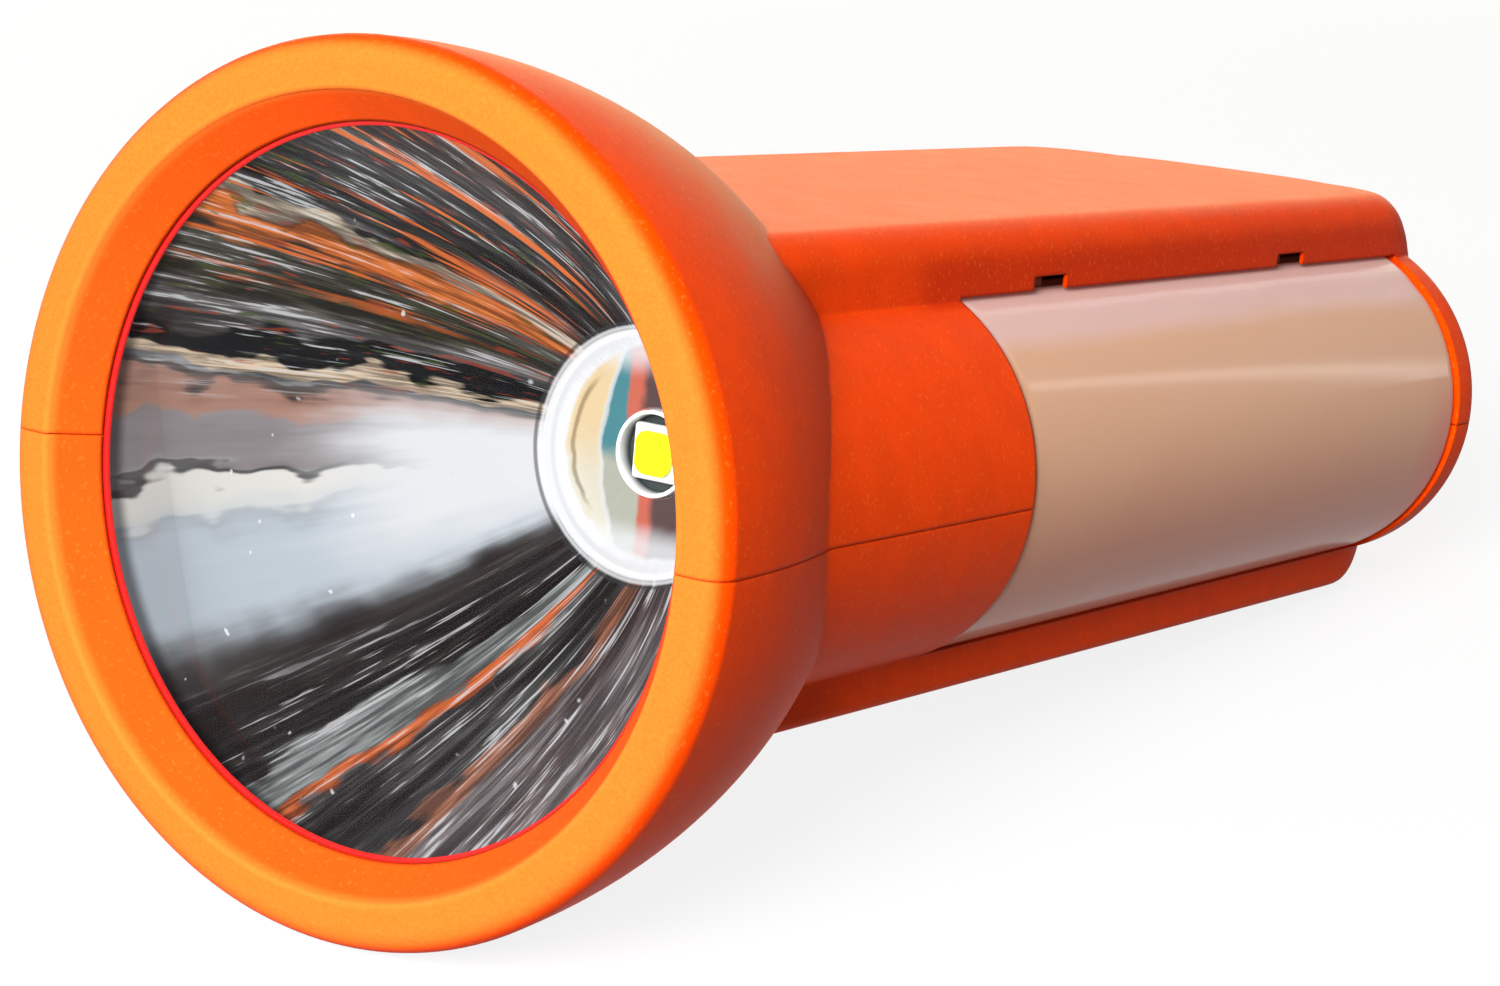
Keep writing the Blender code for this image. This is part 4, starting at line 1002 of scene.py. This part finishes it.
class TORCH_OT_housing(bpy.types.Operator):
    """Make the two moulded halves of the orange housing"""
    bl_idname = "torch.housing"
    bl_label = "Housing"

    def execute(self, context):
        h, s, p = context.scene.torch_housing, context.scene.torch_switch, context.scene.torch_port
        shell = whole_housing(h)
        upper = half(h, shell, "upper_case", True)
        lower = half(h, shell, "lower_case", False)
        bpy.data.objects.remove(shell)
        run, rise = s.knob_length / 2 + s.travel + h.wall, s.knob_height / 2 + h.wall
        floor = h.flank_radius - s.pocket
        pad = block("pad", (floor - h.wall, -run, -rise), (h.flank_radius, run, rise), switch_place())
        combine(pad, "INTERSECT", flank(h, "far", -1, h.wall / 2))
        reach, back = p.half + h.wall, h.body_rear - p.depth
        port_pad = block("port_pad", (-reach, back - h.wall, p.height - reach),
                         (reach, back + h.wall, p.height + reach))
        combine(upper, "UNION", pad, port_pad)
        combine(upper, "DIFFERENCE", window(h), *clip_cuts(h), *switch_cuts(h, s), *port_cuts(h, p))
        pillars, bores = [], []
        for x, y, _ in screw_places():
            low = h.foot_depth - h.wall / 2
            pillars.append(cylinder("pillar", -low, -h.parting / 2, h.screw_bore + 1.8 * MM, 48,
                                    (x, y, 0), "Z"))
            bores.append(cylinder("bore", -2 * h.foot_depth, -h.screw_seat, h.screw_bore, 48, (x, y, 0), "Z"))
        combine(lower, "UNION", *pillars)
        combine(lower, "DIFFERENCE", window(h), *bores)
        ready(upper, "orange_plastic", "housing", "upper_shell")
        ready(lower, "orange_plastic", "housing", "lower_shell")
        return {"FINISHED"}


class TORCH_OT_head(bpy.types.Operator):
    """Make the lens, its seal, the mirror bowl and the main LED"""
    bl_idname = "torch.head"
    bl_label = "Lens, mirror and LED"

    def execute(self, context):
        s = context.scene.torch_head
        self.lens_and_seal()
        self.bowl(s)
        self.main_led(s)
        return {"FINISHED"}

    def lens_and_seal(self):
        radius, front, rear, chamfer = LENS[1].x, LENS[0].y, LENS[1].y, 0.3 * MM
        profile = ((front, 0), (front, radius - chamfer), (front + chamfer, radius), (rear - chamfer, radius),
                   (rear, radius - chamfer), (rear, 0))
        ready(revolve("front_lens", profile, 192), "clear_plastic", "housing", "lens")
        low, high = SEAL
        inner = min(sqrt(p.x ** 2 + p.z ** 2) for p in corners("lens_gasket"))
        bend = (high.y - low.y) / 2
        nose = arc((low.y + bend, inner + bend), bend, 2 * pi, pi, 9)
        ready(revolve("lens_seal", [(high.y, high.x)] + nose + [(low.y, high.x)], 192),
              "red_rubber", "housing", "lens_gasket")

    def bowl(self, s):
        front, rear, outer = BOWL[0].y, BOWL[1].y, BOWL[1].x
        floor = rear - s.mirror_wall
        dish_front = floor - s.dish_depth
        start = front + s.flange
        rim = outer - 2 * s.bead
        bend = (rim ** 2 - s.dish_radius ** 2) / (dish_front - front)
        radii = [rim + (s.dish_radius + s.bead - rim) * i / 47 for i in range(48)]
        mirror = [(dish_front - (r ** 2 - s.dish_radius ** 2) / bend, r) for r in radii]
        y, r = mirror[-1]
        bead = [(y + 0.15 * s.bead, r - 0.35 * s.bead), (y + 0.05 * s.bead, r - 0.8 * s.bead),
                (y + 0.35 * s.bead, r - 1.25 * s.bead), (y + 1.1 * s.bead, r - 1.5 * s.bead)]
        deep, wide = floor - bead[-1][0], bead[-1][1] - s.dish_floor
        turns = [pi / 2 * i / 10 for i in range(1, 11)]
        slope = [(floor - deep * (1 - sin(a)), s.dish_floor + wide * cos(a)) for a in turns]
        hole = s.collar_radius + GAP
        back = [(y, r + s.mirror_wall) for y, r in mirror if y > start + MM][::-1]
        profile = ([(front, outer - s.bead)] + mirror + bead + slope
                   + [(floor, hole), (rear, hole), (rear, s.dish_floor + s.mirror_wall)] + back
                   + [(start, back[-1][1] + 0.1 * MM), (start, outer), (front + GAP, outer)])
        made = revolve("mirror_bowl", profile, 160)
        self.unroll(made.data, front, rear)
        ready(made, "mirror", "housing", "reflector")

    def unroll(self, mesh, front, rear):
        """UV of the bowl: turn round the beam axis, and depth."""
        layer = mesh.uv_layers.new(name="bowl")
        for face in mesh.polygons:
            middle = atan2(face.center.z, face.center.x)
            for index in face.loop_indices:
                place = mesh.vertices[mesh.loops[index].vertex_index].co
                angle = atan2(place.z, place.x)
                angle += 2 * pi * ((middle - angle > pi) - (angle - middle > pi))
                turn = angle / (2 * pi) + (middle < 0)
                layer.data[index].uv = (turn, (place.y - front) / (rear - front))

    def main_led(self, s):
        low, high = COLLAR
        outer, crest, edge = s.collar_radius, s.collar_radius - s.collar_crest, 0.1 * MM
        well = PACKAGE[1].y - 0.2 * MM
        profile = [(high.y, 0), (well, 0), (well, crest - edge), (low.y + edge, crest), (low.y, crest + edge),
                   (low.y, outer - edge), (low.y + edge, outer), (high.y, outer)]
        ready(revolve("led_ring", profile, 96), "white_plastic", "housing", "led_collar", finish="collar")
        wide = s.case_half
        case = block("led_case", (-wide, PACKAGE[0].y, -wide), (wide, PACKAGE[1].y - 0.3 * MM, wide))
        ready(bevel_edges(case, s.led_round, 3), "white_plastic", "housing", "led_package")
        wide = s.die_half
        die = block("led_chip", (-wide, PHOSPHOR[0].y, -wide), (wide, PHOSPHOR[1].y, wide))
        bm = bmesh.new()
        bm.from_mesh(die.data)
        upright = [e for e in bm.edges if abs(e.verts[0].co.y - e.verts[1].co.y) > 0.05 * MM]
        bmesh.ops.bevel(bm, geom=upright, offset=s.die_round, segments=8, affect="EDGES", profile=0.5)
        bm.to_mesh(die.data)
        bm.free()
        ready(die, "phosphor", "housing", "led_phosphor")


class TORCH_OT_lantern(bpy.types.Operator):
    """Make the milky lantern panel and the LEDs behind it"""
    bl_idname = "torch.lantern"
    bl_label = "Side lantern"

    def execute(self, context):
        h, s = context.scene.torch_housing, context.scene.torch_lantern
        self.panel(h, s)
        self.leds(s)
        return {"FINISHED"}

    def panel(self, h, s):
        radius = h.flank_radius - s.recess
        inner = radius - s.thickness
        edge = h.flank_height - PANEL[0].z
        wide, narrow = asin(edge / radius), asin(edge / inner)
        columns, rows, step = 160, 96, 4
        start, length = PANEL[0].y, PANEL[1].y - PANEL[0].y
        bm = bmesh.new()
        loops = []
        for i in range(columns + 1):
            along = length * i / columns
            lost = max(0.0, s.end_round - min(along, length - along))
            drop = s.end_round - sqrt(s.end_round ** 2 - lost ** 2)
            wander = radians(1.2) * sin(along / (6.1 * MM)) + radians(0.8) * sin(along / (2.6 * MM) + 1.3)
            section = []
            for j in range(rows + 1):
                a = wide * (2 * j / rows - 1)
                shoulder = exp(-((a - radians(48) - wander) / radians(4)) ** 2)
                section.append((radius - drop - s.ripple * shoulder, a))
            section += [(inner, narrow * (2 * j / rows - 1)) for j in range(rows, -1, -step)]
            loops.append([bm.verts.new((h.flank_offset + r * cos(a), start + along,
                                        h.flank_height + r * sin(a))) for r, a in section])
        for one, two in zip(loops, loops[1:]):
            for j in range(len(one)):
                bm.faces.new((one[j - 1], one[j], two[j], two[j - 1]))
        bm.faces.new(loops[0])
        bm.faces.new(loops[-1][::-1])
        made = make_object("lantern_cover", bm)
        outside, reach = h.box_half_width - s.tab_setback, h.clip_width / 2 - GAP
        tabs = [block("tab", (outside - s.thickness, y - reach, clip_level() - MM),
                      (outside, y + reach, PANEL[1].z)) for y in clip_places()]
        join(made, *[bevel_edges(tab, GAP, 2) for tab in tabs])
        ready(made, "milky_plastic", "housing", "diffuser_panel", even=False)

    def leds(self, s):
        first, last = span("lamp_led_1"), span(f"lamp_led_{s.led_count}")
        middle = (first[0] + first[1]) / 2
        step = ((last[0] + last[1]) / 2 - middle) / (s.led_count - 1)
        size = (first[1] - first[0]) / 2
        piece = bevel_edges(block("lamp_piece", -size, size), 0.25 * MM, 2)
        made = copies("lantern_leds", piece, "phosphor", count=s.led_count, start=middle, step=step)
        ready(made, "phosphor", "housing", *[f"lamp_led_{i + 1}" for i in range(s.led_count)])


class TORCH_OT_switch(bpy.types.Operator):
    """Make the ridged knob of the slide switch"""
    bl_idname = "torch.switch"
    bl_label = "Slide switch"

    def execute(self, context):
        h, s = context.scene.torch_housing, context.scene.torch_switch
        base = h.flank_radius - s.pocket + GAP
        crown = base + s.knob_base
        knob = block("slide_knob", (base, -s.knob_length / 2, -s.knob_height / 2),
                     (crown, s.knob_length / 2, s.knob_height / 2))
        bevel_edges(knob, s.edge, 3)
        pitch = s.knob_length / s.ridges
        half_height = s.knob_height / 3
        piece = block("ridge", (crown - s.knob_base / 2, -pitch / 4, -half_height),
                      (crown + s.ridge, pitch / 4, half_height))
        bevel_edges(piece, s.edge, 3, lambda v: v.x > crown)
        join(knob, copies("knob_ridges", piece, "black_plastic", count=s.ridges,
                          start=(0, pitch / 2 - s.knob_length / 2, 0), step=(0, pitch, 0)))
        knob.data.transform(switch_place())
        ready(knob, "black_plastic", "switch", "switch_knob")
        return {"FINISHED"}


class TORCH_OT_port(bpy.types.Operator):
    """Make the flap over the charging port and the charge lamp"""
    bl_idname = "torch.port"
    bl_label = "Charging port"

    def execute(self, context):
        p = context.scene.torch_port
        hinge = hinge_place()
        low, high = COVER
        face = low.y + p.flap
        flap = block("port_flap", low, (high.x, face, hinge.z))
        bevel_edges(flap, 0.5 * MM, 3, lambda v: v.z < hinge.z - MM)
        combine(flap, "UNION", cylinder("knuckle", low.x, high.x, p.knuckle, 48, (0, hinge.y, hinge.z), "X"))
        combine(flap, "DIFFERENCE", cylinder("eye", 2 * low.x, 2 * high.x, p.pin_hole, 24,
                                             (0, hinge.y, hinge.z), "X"))
        reach = high.x - 2 * MM
        piece = block("rib", (-reach, face - 0.4 * MM, -0.3 * MM), (reach, face + 0.45 * MM, 0.3 * MM))
        bevel_edges(piece, 0.2 * MM, 2, lambda v: v.y > face)
        join(flap, copies("flap_ribs", piece, "black_rubber", count=p.ribs, start=(0, 0, low.z + 1.4 * MM),
                          step=(0, 0, 1.3 * MM)))
        ready(flap, "black_rubber", "cover", "port_cover")
        radius = (LAMP[1].x - LAMP[0].x) / 2
        tip, back = LAMP[1].y, LAMP[0].y
        dome = arc((tip - radius, 0), radius, pi / 2, 0, 12)[:-1]
        lamp = revolve("charge_lamp", [(back, 0), (back, radius)] + dome + [(tip, 0)], 48,
                       ((LAMP[0].x + LAMP[1].x) / 2, 0, p.height))
        ready(lamp, "red_light", "housing", "charge_indicator")
        return {"FINISHED"}


class TORCH_OT_screws(bpy.types.Operator):
    """Make the four case screws with their cross recesses"""
    bl_idname = "torch.screws"
    bl_label = "Case screws"

    def execute(self, context):
        low, high = span("case_screw_1")
        length = high.z - low.z
        radius, shank, head, edge = (high.x - low.x) / 2, 1.4 * MM, 2.2 * MM, 0.5 * MM
        turns, start, end = 14, head + MM, length - 2 * MM
        pitch = (end - start) / turns
        profile = [(0, 0), (0, radius - edge), (edge, radius), (head, radius), (head, shank)]
        for i in range(turns):
            profile += [(start + i * pitch, shank), (start + (i + 0.3) * pitch, shank - 0.3 * MM)]
        profile += [(end, shank), (length, 0.3 * MM), (length, 0)]
        piece = revolve("screw_piece", profile, 40, axis="Z")
        arm, wide, deep = 0.32 * MM, 1.8 * MM, 1.2 * MM
        combine(piece, "DIFFERENCE", block("bar", (-wide, -arm, -MM), (wide, arm, deep)),
                block("bar", (-arm, -wide, -MM), (arm, wide, deep)))
        made = copies("case_screws", piece, "steel", places=screw_places(), turn=radians(37))
        ready(made, "steel", "housing", *[f"case_screw_{i}" for i in range(1, 5)])
        return {"FINISHED"}


class TORCH_OT_inside(bpy.types.Operator):
    """Make the foam pad, and give the inner pieces that stay as they are their finishes"""
    bl_idname = "torch.inside"
    bl_label = "Inner pieces"

    def execute(self, context):
        self.foam(context.scene.torch_inside)
        kept = {
            "bare_aluminium": ["heat_sink"],
            "white_board": ["led_board", "lamp_board"],
            "white_plastic": ["lamp_tray"],
            "steel": ["port_pin", "battery_terminal_positive", "battery_terminal_negative"],
            "black_plastic": ["battery", "switch_body", "switch_slider", "charge_socket"],
            "green_board": ["control_board"],
        }
        for name, nodes in kept.items():
            for node in nodes:
                mesh = frame["nodes"][node].data
                mesh.materials.clear()
                mesh.materials.append(finish_of(name))
        return {"FINISHED"}

    def foam(self, s):
        """Foam pad: round edges, flat where it is pressed, free sides drawn in between its corners."""
        middle, size = (PAD[0] + PAD[1]) / 2, (PAD[1] - PAD[0]) / 2
        pressed = min(range(3), key=lambda i: size[i])
        made = block("foam_pad", *PAD, cuts=s.foam_cuts)
        for vertex in made.data.vertices:
            place = vertex.co - middle
            core = Vector([max(s.foam_round - w, min(w - s.foam_round, c)) for c, w in zip(place, size)])
            away = place - core
            place = core + away.normalized() * min(s.foam_round, away.length)
            for i in (i for i in range(3) if i != pressed):
                other = 3 - i - pressed
                place[i] *= 1 - s.foam_pull * (1 - (place[other] / size[other]) ** 2)
            vertex.co = middle + place
        ready(made, "foam", "housing", "battery_pad")


# Rays that see the plain white background
SEEN_RAYS = ("Is Camera Ray", "Is Glossy Ray", "Is Transmission Ray")


class TORCH_OT_stage(bpy.types.Operator):
    """Make the pale floor, the soft lamps, the sky and the camera"""
    bl_idname = "torch.stage"
    bl_label = "Stage"

    def execute(self, context):
        s = context.scene.torch_stage
        context.scene.view_settings.view_transform = "Standard"
        self.floor(s)
        self.sky(context, s)
        key = self.lamp("key_lamp", (0.30, -1.05, 0.40), (0, 0.05, 0), s.key, 0.50, 0.50)
        key.visible_glossy = False
        card = self.lamp("back_card", (-0.65, 1.25, 0.40), (0, 0.12, 0), s.card, 1.20, 0.45)
        card.data.color = s.card_tint
        self.lamp("flank_strip", (0.49, 1.20, 0.375), (0.04, 0.13, 0.01), s.strip, 0.03, 0.70)
        self.lamp("shoulder_strip", (-0.05, 1.20, 0.60), (0.03, 0.13, 0.02), 0.5 * s.strip, 0.08, 0.70)
        fill = self.lamp("far_fill", (-1.10, 0.15, 0.28), (0, 0.10, 0), s.fill, 0.60, 0.60)
        fill.visible_glossy = False
        self.camera(context, s)
        return {"FINISHED"}

    def seen_as(self, tree, shader, strength, share, rays):
        """Mix plain light into a shader for a share of the rays of some kinds."""
        path = tree.nodes.new("ShaderNodeLightPath")
        total = path.outputs[rays[0]]
        for ray in rays[1:]:
            both = tree.nodes.new("ShaderNodeMath")
            both.operation = "MAXIMUM"
            tree.links.new(total, both.inputs[0])
            tree.links.new(path.outputs[ray], both.inputs[1])
            total = both.outputs[0]
        part = tree.nodes.new("ShaderNodeMath")
        part.operation = "MULTIPLY"
        part.inputs[1].default_value = share
        tree.links.new(total, part.inputs[0])
        plain = tree.nodes.new("ShaderNodeEmission")
        plain.inputs["Strength"].default_value = strength
        mixed = tree.nodes.new("ShaderNodeMixShader")
        tree.links.new(part.outputs[0], mixed.inputs[0])
        tree.links.new(shader, mixed.inputs[1])
        tree.links.new(plain.outputs[0], mixed.inputs[2])
        return mixed.outputs[0]

    def floor(self, s):
        bm = bmesh.new()
        bmesh.ops.create_circle(bm, cap_ends=True, segments=96, radius=s.floor_radius)
        made = make_object("floor", bm)
        made.data.transform(Matrix.Translation((0, 0, CAD_BOX[0].z)))
        if made.data.polygons[0].normal.z < 0:
            made.data.flip_normals()
        finish = Finish("pale_floor", Roughness=0.9, Specular_IOR_Level=0.0)
        cloud = finish.noise(finish.place(), 3.0, 2.0)
        seen = finish.node("ShaderNodeLightPath")
        tone = finish.mix(seen, s.floor, s.seen_floor)
        finish.feed("Base Color", finish.mix(cloud * 0.02, tone, (0, 0, 0)))
        tree = finish.tree
        seen = self.seen_as(tree, finish.shader.outputs[0], 1.0, s.bright_floor, SEEN_RAYS)
        tree.links.new(seen, tree.nodes["Material Output"].inputs[0])
        made.data.materials.append(finish.material)

    def sky(self, context, s):
        world = bpy.data.worlds.new("studio")
        context.scene.world = world
        world.use_nodes = True
        tree = world.node_tree
        soft = tree.nodes["Background"]
        soft.inputs["Color"].default_value = (1, 1, 1, 1)
        soft.inputs["Strength"].default_value = s.sky
        seen = self.seen_as(tree, soft.outputs[0], 1.0, 1.0, SEEN_RAYS)
        tree.links.new(seen, tree.nodes["World Output"].inputs[0])

    def lamp(self, name, place, target, power, wide, high):
        """Flat lamp at a place in the light's own frame, turned to a target there."""
        data = bpy.data.lights.new(name, "AREA")
        data.energy = power
        data.shape = "RECTANGLE"
        data.size = wide
        data.size_y = high
        made = bpy.data.objects.new(name, data)
        bpy.context.scene.collection.objects.link(made)
        made.location = BEAM @ Vector(place)
        made.rotation_euler = (BEAM @ Vector(target) - made.location).to_track_quat("-Z", "Y").to_euler()
        return made

    def camera(self, context, s):
        data = bpy.data.cameras.new("photo_camera")
        data.sensor_width = 36.0
        data.sensor_fit = "HORIZONTAL"
        data.lens = s.lens
        data.clip_start = 0.01
        made = bpy.data.objects.new("photo_camera", data)
        context.scene.collection.objects.link(made)
        eye = Vector((0.2510, -0.3005, 0.0732))
        ahead = Vector((-0.5417, 0.8226, -0.1731)).normalized()
        right = Vector((0.8233, 0.5608, 0.0883))
        up = right.cross(ahead).normalized()
        turn = Matrix((ahead.cross(up), up, -ahead)).transposed().to_4x4()
        made.matrix_world = BEAM @ Matrix.Translation(eye) @ turn
        context.scene.camera = made


GROUPS = {"torch_housing": HousingSizes, "torch_head": HeadSizes, "torch_lantern": LanternSizes,
          "torch_switch": SwitchSizes, "torch_port": PortSizes, "torch_inside": InsideSizes,
          "torch_stage": StageSizes}
OPERATORS = (TORCH_OT_stage, TORCH_OT_housing, TORCH_OT_head, TORCH_OT_lantern, TORCH_OT_switch,
             TORCH_OT_port, TORCH_OT_screws, TORCH_OT_inside)


class TORCH_PT_sidebar(bpy.types.Panel):
    """Lists the searchlight's steps and sizes"""
    bl_idname = "TORCH_PT_sidebar"
    bl_label = "Searchlight"
    bl_space_type = "VIEW_3D"
    bl_region_type = "UI"
    bl_category = "Searchlight"

    def draw(self, context):
        for operator in OPERATORS:
            self.layout.operator(operator.bl_idname)
        for name, group in GROUPS.items():
            box = self.layout.box()
            box.label(text=group.__name__)
            for prop in group.__annotations__:
                box.prop(getattr(context.scene, name), prop)


def register():
    for kind in (*GROUPS.values(), *OPERATORS, TORCH_PT_sidebar):
        bpy.utils.register_class(kind)
    for name, group in GROUPS.items():
        setattr(bpy.types.Scene, name, bpy.props.PointerProperty(type=group))


def unregister():
    for name in GROUPS:
        delattr(bpy.types.Scene, name)
    for kind in (TORCH_PT_sidebar, *OPERATORS, *GROUPS.values()):
        bpy.utils.unregister_class(kind)


def main():
    for leftover in ("Cube", "Light", "Camera"):
        if leftover in bpy.data.objects:
            bpy.data.objects.remove(bpy.data.objects[leftover])
    register()
    bpy.ops.torch.stage()
    bpy.ops.torch.housing()
    bpy.ops.torch.head()
    bpy.ops.torch.lantern()
    bpy.ops.torch.switch()
    bpy.ops.torch.port()
    bpy.ops.torch.screws()
    bpy.ops.torch.inside()


if __name__ == "__main__":
    main()
